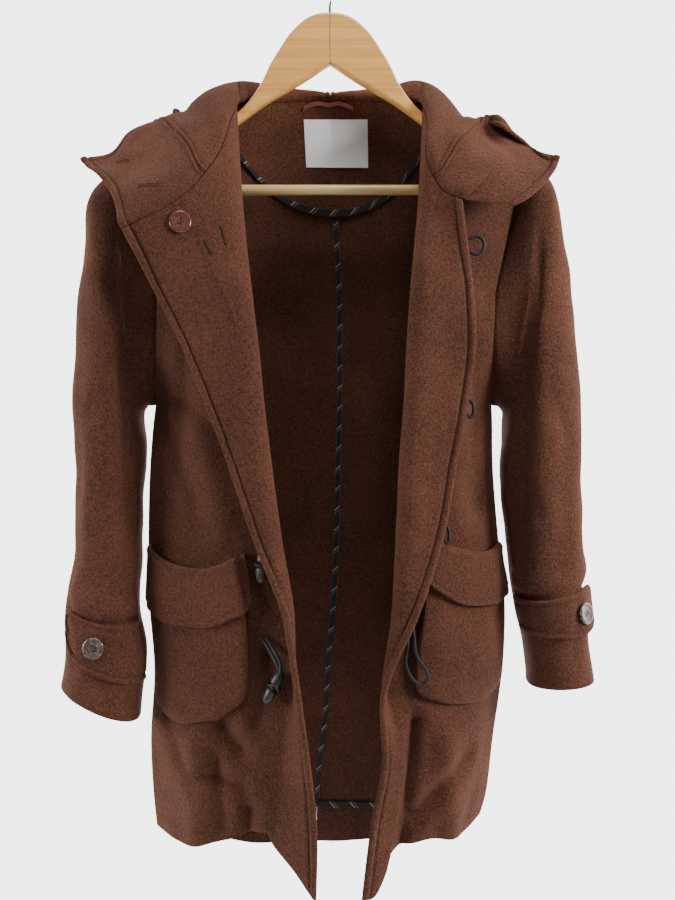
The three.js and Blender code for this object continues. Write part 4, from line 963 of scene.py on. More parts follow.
# columns: middle (down, out, forward), lean (down, out, forward) and the marks of the thong
TOGGLES = [
    ((372, 176, 70.5), (1, 0.25, 0), [(360, 140, 75), (366, 150, 74), (370, 161, 72.5)]),
    ((550, 101, 73.1), (1, 0.2, 0), [(545, 86, 76), (547, 88, 76), (549, 92, 75)]),
    ((706, 73, 78), (1, 0.1, 0), [(700, 55, 79), (703, 58.5, 79), (705, 62, 79)]),
    ((837.5, 60, 83.5), (0.88, 0.47, 0.02), [(787, 72, 72.9), (793, 67, 76.5), (803, 59, 87), (813, 53, 94.5),
                                             (823, 52.5, 96.5), (832, 57, 95)]),
]


def horn_finish(name, dark, light, streak_scale):
    horn = Finish(name, Roughness=0.45, Specular_IOR_Level=0.4, Coat_Weight=0.1, Coat_Roughness=0.25)
    streaks = horn.noise(streak_scale, 5, 0.6, horn.place(scale=(1, 1, 0.14)), distort=0.8)
    fine = horn.noise(700, 2)
    colour = horn.colours((streaks * 0.8 + fine * 0.2).ramp(0.4, 0.68), rgb(*dark), rgb(*light))
    return horn.set(Base_Color=colour, Normal=horn.bump(streaks, 0.0006, 0.5))


HORN = horn_finish("dark_horn", dark=(24, 18, 16), light=(92, 74, 64), streak_scale=190)


def turned(name, profile, frame, material, replaces=(), around=32, smooth_to=50):
    """A turned piece: the profile's (radius, height) pairs go round the frame's third axis. frame is
    (centre, first, second, third)."""
    centre, first, second, third = [np.asarray(v, float) for v in frame]
    profile = np.asarray(profile, float)
    a = np.linspace(0, 2 * np.pi, around, endpoint=False)
    ring = np.cos(a)[:, None] * first + np.sin(a)[:, None] * second
    grid = centre + profile[:, 0][None, :, None] * ring[:, None] + profile[:, 1][None, :, None] * third
    ids = np.arange(around * len(profile)).reshape(around, -1)
    ids = np.concatenate([ids, ids[:1]])
    faces = np.stack([ids[:-1, :-1], ids[1:, :-1], ids[1:, 1:], ids[:-1, 1:]], -1).reshape(-1, 4)
    return mesh_from(name, grid.reshape(-1, 3), faces, None, material, replaces, smooth_to)


def frame_about(centre, third, towards):
    """Three axes at right angles: third as given, and the first as near to towards as it can be."""
    third = unit(np.asarray(third, float))
    first = unit(np.asarray(towards, float) - (np.asarray(towards, float) @ third) * third)
    return centre, first, np.cross(third, first), third


def spindle():
    """The toggle's outline: a long bell with blunt ends and a dip in the middle."""
    k = np.linspace(-1, 1, 61)
    radius = 6.5 * (1 - np.abs(k) ** 7) ** 0.5 * (1 - 0.3 * np.abs(k) ** 2.4)
    radius -= (radius - TOGGLE_WAIST) * np.exp(-(k / 0.16) ** 4)
    radius[[0, -1]] = 0.02
    return np.column_stack([radius, k * TOGGLE_HALF])


for k, (middle, lean, marks) in enumerate(TOGGLES):
    centre, axis = place(RIGHT, *middle), unit(place(RIGHT, *lean))
    strand = np.array([place(RIGHT, *mark) for mark in marks])
    across = strand[-1] - centre
    across = unit(across - (across @ axis) * axis)
    ahead = np.cross(axis, across)
    ahead *= -np.sign(ahead[1])
    turned(f"toggle_{k + 1}_horn", spindle(), (centre, across, ahead, axis), HORN, [f"toggle_{k + 1}"])
    ring = TOGGLE_WAIST + THONG / 2 + 0.9
    a = np.radians([60, 110, 160, 200, 250, 300])[:, None]
    round_waist = centre + ring * (np.cos(a) * across + np.sin(a) * ahead)
    beside = unit(np.cross(strand[-1] - strand[0], (0, 1, 0)))
    turn_in = np.linspace(0, 1, len(strand))[:, None] ** 2
    apart = unit(mix(beside, ahead, turn_in)) * (THONG + 0.3) / 2
    thong(f"toggle_cord_{k + 1}", [*(strand + apart), *round_waist, *(strand - apart)[::-1]])

# %% [markdown]
# ## Stitches
#
# Topstitching is a row of short thread stitches a set distance from an edge. A stitch is so small
# that sixteen faces are enough: a thin bar with a square section and pointed ends, half sunk into
# the cloth. All stitches of a panel are one mesh.

# %% Stitches
STITCHES = {}


def stitch_line(group, points, normals, pitch=3.6, share=0.74, thick=0.42, sink=0.12):
    """Adds stitches along a line of points in millimetres to a group."""
    run = tape(points)
    count = max(int(run[-1] / pitch), 1)
    starts = np.arange(count) * run[-1] / count
    ends = starts + share * run[-1] / count
    at = [np.column_stack([np.interp(v, run, points[:, axis]) for axis in range(3)]) for v in (starts, ends)]
    up = unit(np.column_stack([np.interp((starts + ends) / 2, run, normals[:, axis]) for axis in range(3)]))
    along = unit(at[1] - at[0])
    across = unit(np.cross(along, up))
    lift = up * (thick - sink) / 2
    rings = [at[0] + lift - up * thick * 0.6]
    for end, way in ((at[0], 1), (at[1], -1)):
        middle = end + lift + along * way * 0.45
        rings += [middle + (u * up + v * across) * thick for u, v in ((0.6, 0), (0, 0.6), (-0.6, 0), (0, -0.6))]
    rings.append(at[1] + lift - up * thick * 0.6)
    STITCHES.setdefault(group, []).append(np.stack(rings, 1))


STITCH_FACES = np.array([
    (0, 2, 1), (0, 3, 2), (0, 4, 3), (0, 1, 4), (9, 5, 6), (9, 6, 7), (9, 7, 8), (9, 8, 5),
    (1, 2, 6), (1, 6, 5), (2, 3, 7), (2, 7, 6), (3, 4, 8), (3, 8, 7), (4, 1, 5), (4, 5, 8)])


def stitches_on(panel, height, s, t, group, **sizes):
    """Stitches along a line of s and t, at a height over the panel's own surface."""
    points, normals = panel.at(s, t)
    stitch_line(group, points + height * normals, normals * np.sign(height), **sizes)


def inset(panel, t, distance, s_from=0, s_to=7):
    """The s that lies a distance in mm before s_to, for every t."""
    lines = np.linspace(s_from, s_to, 400)
    _, left_over = lengths_along(panel.at(lines[:, None], t[None])[0], 0)
    return np.array([np.interp(-distance, -left_over[:, row], lines) for row in range(len(t))])


for word, side in SIDES.items():
    panel = fronts[side]
    t = np.linspace(0.02, HEM - 9.5 / 62, 500)
    edge = inset(panel, t, STITCH_IN)
    stitches_on(panel, 0.1 + CLOTH - 1.45, edge, t, f"front_{word}")
    stitches_on(panel, -0.1 - CLOTH + 0.93, edge, t, f"front_{word}")
    s = np.linspace(0.05, edge[-1], 400)
    stitches_on(panel, 0.1 + CLOTH - 0.02, s, np.full(400, HEM - 30 / 62), f"front_{word}")
t = np.full(400, HEM - 30 / 62)
stitches_on(back, 0.15 + CLOTH - 0.02, np.linspace(-3.95, 3.95, 400), t, "backs")
print("stitched groups:", list(STITCHES))

# %% [markdown]
# ## Hood
#
# The hood has two sides, joined down its middle, and two throat ends that close in front of the
# neck when it is worn. It is sewn to the neckline. On the hanger it stands up a little, falls
# behind the back as a bag, and its opening comes up again. Each station along the neckline has
# five more marks across the cloth, and smooth curves both ways give the form.

# %% Sizes of the hood
# every row is a station along the neckline; columns: crest, fold, bottom, rise and face, and each
# of these is (down, out, forward)
HOOD_BACK = [
    [(141, 0, -46), (285, 0, -69), (425, 0, -86), (290, 0, -110), (170, 0, -98)],
    [(137, 66, -39), (275, 82, -68), (400, 84, -86), (280, 100, -106), (170, 94, -92)],
    [(140, 112, -15), (208, 143, -52), (290, 160, -80), (236, 168, -90), (182, 160, -66)],
]
HOOD_FRONT = {
    RIGHT: [
        [(157, 148, 2), (164, 165, -16), (176, 179, -36), (172, 186, -42), (166, 186, -31)],
        [(214, 146, 40), (194, 164, 22), (184, 176, 6), (181, 183, -4), (178, 189, -14)],
        [(276, 181, 72), (246, 201, 46), (224, 217, 22), (208, 227, 8), (207, 236, -4)],
        [(302, 212, 84), (278, 226, 62), (260, 240, 44), (247, 249, 30), (237, 256, 17)],
        [(320, 230, 88), (294, 242, 74), (272, 262, 60), (262, 274, 48), (252, 283, 41)],
    ],
    LEFT: [
        [(171, 143, 2), (182, 158, -18), (196, 170, -36), (194, 176, -42), (184, 176, -30)],
        [(224, 134, 42), (202, 152, 22), (191, 164, 6), (190, 174, -8), (194, 180, -12)],
        [(258, 156, 60), (236, 174, 36), (218, 187, 11), (188, 197, 6), (209, 198, 24)],
        [(278, 174, 74), (256, 190, 58), (240, 202, 36), (212, 216, 10), (226, 221, 30)],
        [(297, 192, 82), (281, 208, 70), (263, 220, 56), (240, 232, 34), (243, 238, 42)],
        [(310, 215, 84), (297, 229, 76), (284, 241, 66), (267, 253, 54), (250, 261, 42)],
    ],
}
STATIONS = {RIGHT: (0, 1, 2, 3, 4, 5, 5.6, 6), LEFT: (0, 1, 2, 3, 4, 5, 6, 6.5, 7)}
HOOD_CORNER = (318, 201, 90)      # lower corner of the left end, past the front's edge
HOOD_SEAM = 4.42                  # station of the seam between a side and its end
HOOD_HALF = 1.2                   # half the thickness of the hood's cloth
SEAM_STITCH = 6.5                 # mm from a hood seam to the stitches beside it
SEAM_ROW = np.linspace(0.3, 5.95, 300)      # w of the stitches beside that seam
LAST = {RIGHT: 6, LEFT: 7}
# folds of the hanging bag; columns: station and w at both ends, depth, width in stations
HOOD_FOLDS = [(0.2, 3.4, 1.7, 2.6, -5, 0.22), (0.9, 5.2, 1.1, 3.6, -5, 0.2), (1.7, 4.6, 1.5, 3.2, 4, 0.18),
              (0.45, 3, 0.3, 4.6, 4, 0.2), (2.5, 5.4, 2.1, 3.4, -2.5, 0.16)]


def neckline(side, station):
    """Places along the neckline, and the direction away from the body's panel at each."""
    station = np.atleast_1d(np.asarray(station, float))
    def spot(v, t):
        on_back, _ = back.at(side * np.minimum(v, 2), t)
        on_front, _ = fronts[side].at(np.clip(v + 1, 3, 7), t)
        return np.where((v < 2)[:, None], on_back, on_front)
    low, high = np.where(station < 2, 0, 2), np.where(station < 2, 2 - 1e-6, 6)
    at = spot(station, 0)
    run = spot(np.clip(station + 0.03, low, high), 0) - spot(np.clip(station - 0.03, low, high), 0)
    normal = np.where((station < 2)[:, None], back.at(side * np.minimum(station, 2), 0)[1],
                      fronts[side].at(np.clip(station + 1, 3, 7), 0)[1])
    rise = unit(np.cross(run, normal))
    rise *= -np.sign(np.sum(rise * (spot(station, 0.05) - at), -1, keepdims=True))
    past = np.clip(station - 6, 0, 1)[:, None]
    at = mix(at, place(LEFT, *HOOD_CORNER), past)
    return at, normal, rise


def hood_surface(side, station, w):
    """w runs from the neckline (0) over crest, fold, bottom and rise to the face edge (6)."""
    station = np.asarray(station, float)
    at, _, rise = neckline(side, station)
    rows = np.array(HOOD_BACK + HOOD_FRONT[side], float)
    row = np.interp(station, STATIONS[side], np.arange(len(rows)))
    marks = [smooth(place(side, *np.moveaxis(rows[:, k], -1, 0)), row) for k in range(5)]
    grid = np.swapaxes(smooth(np.array([at + 0.75 * rise, at + 7 * rise, *marks]), np.asarray(w, float)), 0, 1)
    free = np.clip((w - 1) / 1.2, 0, 1)
    push = slow_waves(grid) * 1.2 * free
    for s0, w0, s1, w1, depth, width in HOOD_FOLDS:
        k = np.clip((w - w0) / (w1 - w0), 0, 1)
        inside = np.sin(np.clip((w - min(w0, w1)) / abs(w1 - w0), 0, 1) * np.pi) ** 0.7
        push += depth * inside * bell(station[:, None] - mix(s0, s1, k), width)
    return grid + normals_of(grid, side) * push[..., None]


# %% The hood's panels
hoods = {}
for word, side in SIDES.items():
    stations = np.concatenate([np.linspace(0, 2, 61)[:-1],
                               np.linspace(2, LAST[side], 40 * (LAST[side] - 2) + 1)])
    w = np.concatenate([[0, 0.05, 0.12, 0.25, 0.4, 0.6, 0.8], np.linspace(1, 6, 151)])
    hoods[side] = Panel(lambda s, t, side=side: hood_surface(side, s, t), stations, w, side)
    _, seam, _ = neckline(side, stations)
    facing = np.sign(np.sum(seam * hoods[side].normals[:, 7], -1, keepdims=True))
    facing[facing == 0] = 1
    across, _ = lengths_along(hoods[side].points, 1)
    sewn = np.clip((6.05 - stations) / 0.1, 0, 1)[:, None]
    hoods[side].lean((seam * facing)[:, None], bell(across, 3.5) * sewn)
    middle = hoods[side].normals.copy()
    middle[..., 0] = 0
    down, _ = lengths_along(hoods[side].points, 0)
    hoods[side].lean(unit(middle), bell(down, 6))


def hood_piece(name, node, side, s_from, s_to, first, last, round_start, round_end):
    """One piece of the hood. Columns run along the neckline and rows across the cloth."""
    marks = np.concatenate([[0, 0.01, 0.03, 0.06, 0.12, 0.25, 0.5, 0.8], np.linspace(1, 5.6, 84),
                            6 - np.array([17, 14, 12, 10.6, 9.8, 9, 8.2, 7, 5, 3.4, 2.2, 1.3, 0.7, 0.25, 0]) / 62])
    station = hoods[side].spread(s_from, s_to, marks, first, last, 60)
    points, normals = hoods[side].at(station, marks[None])
    from_start, from_end = lengths_along(points, 0)
    from_neck, from_face = lengths_along(points, 1)
    half = HOOD_HALF - 0.55 * bell(from_neck, 1.6)
    half *= rounded(from_face, 2)
    half += topstitched(from_face, 1.3, 0.9)
    for edge, turned_edge in ((from_start, round_start), (from_end, round_end)):
        half = half * rounded(edge, 2) + topstitched(edge, 1.3, 0.9) if turned_edge else (
            half + topstitched(edge, 1.1, 0.8, SEAM_STITCH) - 0.7 * bell(edge, 1.6))
    half = np.maximum(half, 0.2)
    half = half[..., None]
    if s_from == 0:
        points[0, :, 0] += side * 0.1
    return wall(name, points - half * normals, points + half * normals, WOOL, [node],
                uv=cloth_uv(points))


for word, side in SIDES.items():
    hood_piece(f"hood_{word}_cloth", f"hood_{word}", side, 0, HOOD_SEAM - 0.002, SEAM_EDGE, SEAM_EDGE,
               False, False)
    hood_piece(f"hood_end_{word}_cloth", f"hood_end_{word}", side, HOOD_SEAM + 0.002, LAST[side],
               SEAM_EDGE, EDGE, False, True)
    panel = hoods[side]
    w = np.linspace(0.3, 6 - STITCH_IN / 62, 300)
    for face in (1, -1):
        lower = inset(panel, w, STITCH_IN, 3, LAST[side])
        stitches_on(panel, face * (HOOD_HALF - 0.85), lower, w, f"hood_{word}")
        opening = np.linspace(0.02, lower[-1], 500)
        face_row = np.full(500, 6 - STITCH_IN / 62)
        stitches_on(panel, face * (HOOD_HALF - 0.85), opening, face_row, f"hood_{word}")
        by_seam = inset(panel, SEAM_ROW, SEAM_STITCH, 2, HOOD_SEAM)
        stitches_on(panel, face * (HOOD_HALF - 0.75), by_seam, SEAM_ROW, f"hood_{word}")
print("hood pieces:", [thing.name for thing in PIECES if thing.name.startswith("hood")])


# %% Buttonholes and the marks on the right lapel
def buttonhole(panel, start, end, height, aside_by, group):
    """Two dense rows of stitches beside a slit, and a short bar across its end."""
    k = np.linspace(0, 1, 24)
    points, normals = panel.at(mix(start[0], end[0], k), mix(start[1], end[1], k))
    points = points + height * normals
    normals = normals * np.sign(height)
    aside = np.cross(unit(points[-1] - points[0])[None], normals)
    for way in (-1, 1):
        stitch_line(group, points + way * aside_by * aside, normals, pitch=0.9, share=0.95, thick=0.75)
    bar = points[-1] + np.linspace(-2.6, 2.6, 8)[:, None] * aside[-1]
    stitch_line(group, bar, np.tile(normals[-1], (8, 1)), pitch=0.9, share=0.95, thick=0.75)


HOLES = [((5.16, 1.69), (5.46, 2.09)), ((5.36, 3.73), (5.56, 4.3))]     # both ends as (station, w)
for start, end in HOLES:
    for face in (1, -1):
        buttonhole(hoods[RIGHT], start, end, face * (HOOD_HALF + 0.2), 1.6, "hood_right")
SLITS = [((5.65, 0.57), (5.53, 0.74)), ((5.25, 0.53), (5.17, 0.7))]     # both ends as (s, t)
for start, end in SLITS:
    buttonhole(fronts[RIGHT], start, end, -CLOTH - 0.2, 0.4, "front_right")
# the line of stitches that runs down the right lapel from its notch; columns: s, t
LAPEL_LINE = np.array([(5.95, 0.05), (5.84, 0.4), (5.69, 0.7), (5.49, 0.99), (5.36, 1.37), (5.31, 1.71)])
lapel_line = smooth(LAPEL_LINE, np.linspace(0, 5, 120))
stitches_on(fronts[RIGHT], -CLOTH - 0.1, lapel_line[:, 0], lapel_line[:, 1], "front_right", thick=0.6)
print("stitch groups:", sorted(STITCHES))

# %% [markdown]
# ## Yoke, neck facing and bindings
#
# A second layer of cloth lies over the shoulders outside, and a moon-shaped facing covers the back
# neck inside. Raw edges that show inside are bound with bias tape, a dark tape with pairs of pale
# diagonal lines. The tape's pattern comes from its UV map, which is measured in real lengths.

# %% Yoke and neck facing
YOKE_END, MOON_REACH = 0.81, 2.45
yoke_rows = np.concatenate([[0.006, 0.02, 0.04, 0.07], np.linspace(0.1, YOKE_END - 0.26, 22),
                            YOKE_END - np.array(EDGE)[::-1] / 105])
q = back.spread(-3.95, 3.95, yoke_rows, SEAM_EDGE, SEAM_EDGE, 90)
points, normals = back.at(q, yoke_rows[None])
from_right, from_left = lengths_along(points, 0)
_, from_low = lengths_along(points, 1)
thick = CLOTH * rounded(from_low, 2.2) - 0.3 * bell(from_low - STITCH_IN, 1.2)
thick -= 0.8 * bell(from_right, 1.8) + 0.8 * bell(from_left, 1.8)
wall("back_yoke_cloth", points + 2.6 * normals, points + (2.65 + thick[..., None]) * normals, WOOL,
     ["back_yoke"], uv=cloth_uv(points))
t = YOKE_END - STITCH_IN / 105
stitches_on(back, 2.65 + CLOTH - 0.25, np.linspace(-3.85, 3.85, 400), np.full(400, t), "backs")
stitches_on(back, 0.05, np.linspace(-3.9, 3.9, 400), np.full(400, t), "inside_back")


def moon_edge(q):
    """Lower edge of the neck facing: flat in the middle and steep at both ends."""
    return 0.06 + 0.5 * (1 - (np.abs(q) / MOON_REACH).clip(0, 1) ** 2.2)


q = np.linspace(-MOON_REACH, MOON_REACH, 121)
share = np.concatenate([[0, 0.004, 0.012, 0.025, 0.05, 0.09], np.linspace(0.14, 1, 24)])
points, normals = back.at(q[:, None], share[None] * moon_edge(q)[:, None])
from_right, from_left = lengths_along(points, 0)
thick = CLOTH - 1.1 * bell(from_right, 3) - 1.1 * bell(from_left, 3)
wall("back_neck_facing_cloth", points - 0.45 * normals, points - (0.5 + thick[..., None]) * normals, WOOL,
     ["back_neck_facing"], uv=cloth_uv(points))

# %% The bias tape
TAPE_REPEAT = 0.0252       # metres between the pairs of lines


def tape_finish():
    tape_cloth = Finish("bias_tape", Roughness=0.8, Sheen_Weight=0.2, Specular_IOR_Level=0.25)
    place_on = tape_cloth.place(uv=True)
    across = tape_cloth.node("ShaderNodeSeparateXYZ", 0, Vector=place_on)
    along_tape = tape_cloth.node("ShaderNodeSeparateXYZ", 1, Vector=place_on)
    share = ((along_tape + across * 0.9) * (1 / TAPE_REPEAT)) % 1.0
    cream = (share > 0.3) * (share < 0.37)
    brown = (share > 0.46) * (share < 0.53)
    weave = tape_cloth.noise(1400, 3, 0.7)
    ground = tape_cloth.colours(weave.ramp(0.35, 0.65), rgb(14, 20, 22), rgb(30, 38, 42))
    ground = tape_cloth.colours(cream * (0.5 + weave * 0.5), ground, rgb(180, 160, 134))
    ground = tape_cloth.colours(brown * (0.5 + weave * 0.5), ground, rgb(132, 92, 66))
    return tape_cloth.set(Base_Color=ground, Normal=tape_cloth.bump(weave, 0.0006, 0.8))


TAPE = tape_finish()


def tape_on(name, node, panel, s, t, base, high):
    """A strip of tape. s and t are grids with 7 columns across, and its stitches run near one edge."""
    points, normals = panel.at(s, t)
    from_one, from_other = lengths_along(points, 0)
    edge = rounded(np.minimum(from_one, from_other), 0.7)
    slump = 0.35 * np.sin(lengths_along(points, 1)[0] / 17 + from_one) * (from_one > 1)
    far = base - edge * high - 0.12 * slump
    near = np.full_like(far, base)
    thing = wall(name, points + near[..., None] * normals, points + far[..., None] * normals, TAPE,
                 [node], uv=cloth_uv(points))
    lane = points[-2] + (base - high + 0.06) * normals[-2]
    stitch_line("tape", lane, -normals[-2], pitch=3.2, thick=0.3)
    return thing


ACROSS = np.array([0, 0.06, 0.16, 0.4, 0.66, 0.86, 0.94, 1])
for word, side in SIDES.items():
    t = np.linspace(0.6, HEM, 300)
    tape_on(f"facing_binding_{word}_tape", f"facing_binding_{word}", fronts[side],
            3 + 0.35 * ACROSS[::-1][:, None] + 0 * t, t[None] + 0 * ACROSS[:, None], -2.3, 0.8)
q = np.linspace(-2.2, 2.2, 160)
tape_on("neck_facing_binding_tape", "neck_facing_binding", back, q[None] + 0 * ACROSS[:, None],
        moon_edge(q)[None] - 0.003 - 0.033 * (1 - ACROSS[:, None]), -2.7, 0.8)
t = np.linspace(0.57, 9.42, 320)
tape_on("center_back_binding_tape", "center_back_binding", back, (ACROSS[:, None] - 0.5) * 0.104 + 0 * t,
        t[None] + 0 * ACROSS[:, None], -0.3, 1.6)
q = np.linspace(-3.6, 3.6, 240)
tape_on("back_hem_binding_tape", "back_hem_binding", back, q[None] + 0 * ACROSS[:, None],
        9.43 + 0.09 * ACROSS[::-1][:, None] + 0 * q, -0.95, 0.8)

# %% [markdown]
# ## Label and hanging loop
#
# A blank satin label is stitched to the neck facing along its two short ends, and a narrow ribbon
# stands in a low arch above it, to hang the coat on a peg.

# %% Label and hanging loop
LABEL = {"from": -0.53, "to": 0.72, "top": 0.083, "bottom": 0.315}
satin = Finish("white_satin", Roughness=0.42, Sheen_Weight=0.3, Specular_IOR_Level=0.5)
weave = satin.noise(900, 3, 0.6, satin.place(scale=(1, 1, 8)))
SATIN = satin.set(Base_Color=satin.colours(weave.ramp(0.3, 0.7), rgb(232, 234, 236), rgb(248, 249, 250)),
                  Normal=satin.bump(weave, 0.0003, 0.6))
q = np.linspace(LABEL["from"], LABEL["to"], 60)
t = np.linspace(LABEL["top"], LABEL["bottom"], 40)
points, normals = back.at(q[:, None], t[None])
from_one, from_other = lengths_along(points, 0)
down, up = lengths_along(points, 1)
sides = np.minimum(from_one, from_other)
puff = 0.8 * (1 - bell(sides, 6)) * np.sin(down / 11 + from_one / 19) ** 2
folded = 0.35 * bell(np.minimum(down, up), 2.4)
high = (0.45 + puff + folded)[..., None]
wall("label_satin", points - 2.75 * normals, points - (2.8 + high) * normals, SATIN, ["label"],
     uv=cloth_uv(points))
for row in (1, -2):
    stitch_line("label", points[row] - (2.8 + high[row]) * normals[row], -normals[row], pitch=2.2, thick=0.3)

LOOP = {"from": -33, "to": 28, "down": 166, "rise": 7, "width": 5, "stand": 3}
ribbon = Finish("rose_ribbon", Roughness=0.45, Sheen_Weight=0.4, Specular_IOR_Level=0.5)
ribs = ribbon.noise(1100, 2, 0.5, ribbon.place(scale=(0.12, 1, 1)))
RIBBON = ribbon.set(Base_Color=ribbon.colours(ribs.ramp(0.35, 0.65), rgb(98, 40, 48), rgb(140, 66, 74)),
                    Normal=ribbon.bump(ribs, 0.0005, 0.7))
a = np.sin(np.linspace(-np.pi / 2, np.pi / 2, 49))
b = np.linspace(0, 1, 7)
out = mix(LOOP["from"], LOOP["to"], (a + 1) / 2)
arch = np.sqrt(np.clip(1 - a ** 2, 0, 1))
arch = arch * (1 - 0.12 * np.cos(a * 7))
base = back.at(out / 62, 0.02)[0][:, 1] - LOOP["stand"] * (0.6 + arch)
grid = np.empty((49, 7, 3))
grid[..., 0] = out[:, None]
grid[..., 1] = (base - 0.6)[:, None] + 0.35 * np.sin(b * np.pi)
grid[..., 2] = (-LOOP["down"] + LOOP["rise"] * arch)[:, None] - b * LOOP["width"]
thick = 0.75 * np.clip(rounded(np.minimum(b, 1 - b) * LOOP["width"], 0.5), 0.35, 1)
front_face = grid.copy()
front_face[..., 1] -= thick
wall("hanging_loop_ribbon", grid, front_face, RIBBON, ["hanging_loop"], uv=cloth_uv(grid))

# %% [markdown]
# ## Pockets
#
# Each patch pocket stands off the coat: its front edge has a folded gusset, so the pocket opens
# like a bellows, and the bottom corners are round. The flap is sewn above it, turned down over the
# opening, and is free at the bottom, so it stands a little away. The distance from the coat is a
# height over the front's panel, which rises quickly from the sewn edges.

# %% Sizes of the pockets
# reach in s, and edges in t read evenly across the piece
POCKET = {
    RIGHT: {"patch": (0.16, 2.28, (5.62, 5.62), (7.42, 7.62, 7.52, 7.2)),
            "flap": (0.12, 2.4, (5.12, 5.34, 5.4, 5.18), (6.05, 6.2, 6.2, 5.95))},
    LEFT: {"patch": (0.16, 2.5, (5.45, 5.45), (7.15, 7.3, 7.28, 7.1)),
           "flap": (0.12, 2.42, (5.08, 5.2, 5.12, 5.0), (5.85, 5.95, 5.9, 5.6))},
}
POCKET_STANDS = 6.5                     # mm
PATCH_CORNER, FLAP_CORNER = 12, 9       # radius of the lower corners, mm


def edge_at(marks, k):
    """A smooth line through evenly spaced marks."""
    marks = np.asarray(marks, float)
    stops = np.column_stack([np.linspace(0, 1, len(marks)), marks, 0 * marks])
    fine = smooth(stops, np.linspace(0, len(marks) - 1, 60))
    return np.interp(k, fine[:, 0], fine[:, 1])


def pocket_height(side, s, t):
    """How far the patch stands off the coat at any s and t, in mm: nothing outside it."""
    s0, s1, top, bottom = POCKET[side]["patch"]
    k = (s - s0) / (s1 - s0)
    high = edge_at(bottom, np.clip(k, 0, 1))
    from_side = (s - s0) * 62
    from_front = (s1 - s) * 62
    from_bottom = (high - t) * 62
    stand = rounded(from_side, 26) * rounded(from_front, 5) * rounded(from_bottom, 13)
    sag = 1 + 0.35 * bell(from_bottom - 34, 40) * bell(k - 0.55, 0.5)
    return POCKET_STANDS * stand * sag


# %% Patches and flaps
for word, side in SIDES.items():
    s0, s1, top, bottom = POCKET[side]["patch"]
    run = s1 - s0
    marks = np.array(EDGE) / 62
    s = np.concatenate([s0 + marks, np.linspace(s0 + 0.36, s1 - 0.36, 40), s1 - marks[::-1]])
    b = np.concatenate([np.linspace(0, 0.84, 46), 1 - np.array(EDGE)[::-1] / 130])
    k = (s - s0) / run
    corner = np.minimum(s - s0, s1 - s) * 62
    cut = PATCH_CORNER * (1 - rounded(corner, PATCH_CORNER)) / 62
    t_top, t_end = edge_at(top, k), edge_at(bottom, k) - cut
    t = mix(t_top[:, None], t_end[:, None], b[None])
    points, normals = fronts[side].at(s[:, None], t)
    stand = pocket_height(side, s[:, None] + 0 * t, np.minimum(t, (edge_at(bottom, k) - 0.004)[:, None]))
    from_side, from_front = lengths_along(points, 0)
    _, from_bottom = lengths_along(points, 1)
    groove = 0.5 * bell(from_bottom - STITCH_IN + 2, 1.2) + 0.5 * bell(from_side - STITCH_IN + 2, 1.2)
    rim = np.minimum(np.minimum(from_side, from_front), from_bottom)
    near = 2.35 + stand * 0.98
    far = 2.4 + stand + CLOTH * rounded(rim, 1.6) - groove
    wall(f"pocket_{word}_cloth", points + near[..., None] * normals, points + far[..., None] * normals,
         WOOL, [f"pocket_{word}"], uv=cloth_uv(points))

    s0, s1, top, bottom = POCKET[side]["flap"]
    s = np.concatenate([s0 + marks, np.linspace(s0 + 0.36, s1 - 0.36, 40), s1 - marks[::-1]])
    b = np.concatenate([np.array([0, 0.01, 0.03, 0.06, 0.1, 0.15, 0.2]), np.linspace(0.25, 0.72, 14),
                        1 - np.array(EDGE)[::-1] / 56])
    b = np.unique(b)
    k = (s - s0) / (s1 - s0)
    corner = np.minimum(s - s0, s1 - s) * 62
    cut = FLAP_CORNER * (1 - rounded(corner, FLAP_CORNER)) / 62
    t_top, t_end = edge_at(top, k), edge_at(bottom, k) - cut
    t = mix(t_top[:, None], t_end[:, None], b[None])
    points, normals = fronts[side].at(s[:, None], t)
    under = pocket_height(side, s[:, None] + 0 * t, t)
    from_side, from_front = lengths_along(points, 0)
    from_top, from_bottom = lengths_along(points, 1)
    rim = np.minimum(np.minimum(from_side, from_front), from_bottom)
    lift = 2.4 + 2.7 * np.clip(from_top / 5, 0, 1) + under + 3.2 * b[None] ** 2 + 0.8 * bell(from_top - 6, 4)
    groove = 0.45 * bell(rim - STITCH_IN + 1, 1.2) + 0.7 * bell(from_top, 1.5)
    far = lift + 0.05 + 2.3 * rounded(rim, 2) * np.clip(0.4 + from_top / 3, 0, 1) - groove
    wall(f"pocket_flap_{word}_cloth", points + lift[..., None] * normals, points + far[..., None] * normals,
         WOOL, [f"pocket_flap_{word}"], uv=cloth_uv(points))
    face = points + (far - 0.02)[..., None] * normals
    sewn = STITCH_IN - 1
    columns = np.where((s - s0 > sewn / 62) & (s1 - s > sewn / 62))[0]
    low = [int(np.argmin(np.abs(rim[c] - sewn) + 100 * (from_bottom[c] > from_bottom[c].max() * 0.6)))
           for c in columns]
    line = face[columns, low]
    stitch_line(f"pocket_{word}", line, normals[columns, low])
    side_line = columns[-1]
    stitch_line(f"pocket_{word}", face[side_line, 2:low[-1]], normals[side_line, 2:low[-1]])
    stitch_line(f"pocket_{word}", face[columns[0], 2:low[0]], normals[columns[0], 2:low[0]])

# %% [markdown]
# ## Cuff tabs and buttons
#
# A tapered tab crosses the front of each cuff and is held by a four-hole button near its outer
# end. A button is turned: a disc with a rounded rim and a dished face. Its four holes are real, cut
# by a boolean with four thin cylinders, and two bars of thread cross between them.

# %% Cuff tabs
TAB_OVER = 3.0

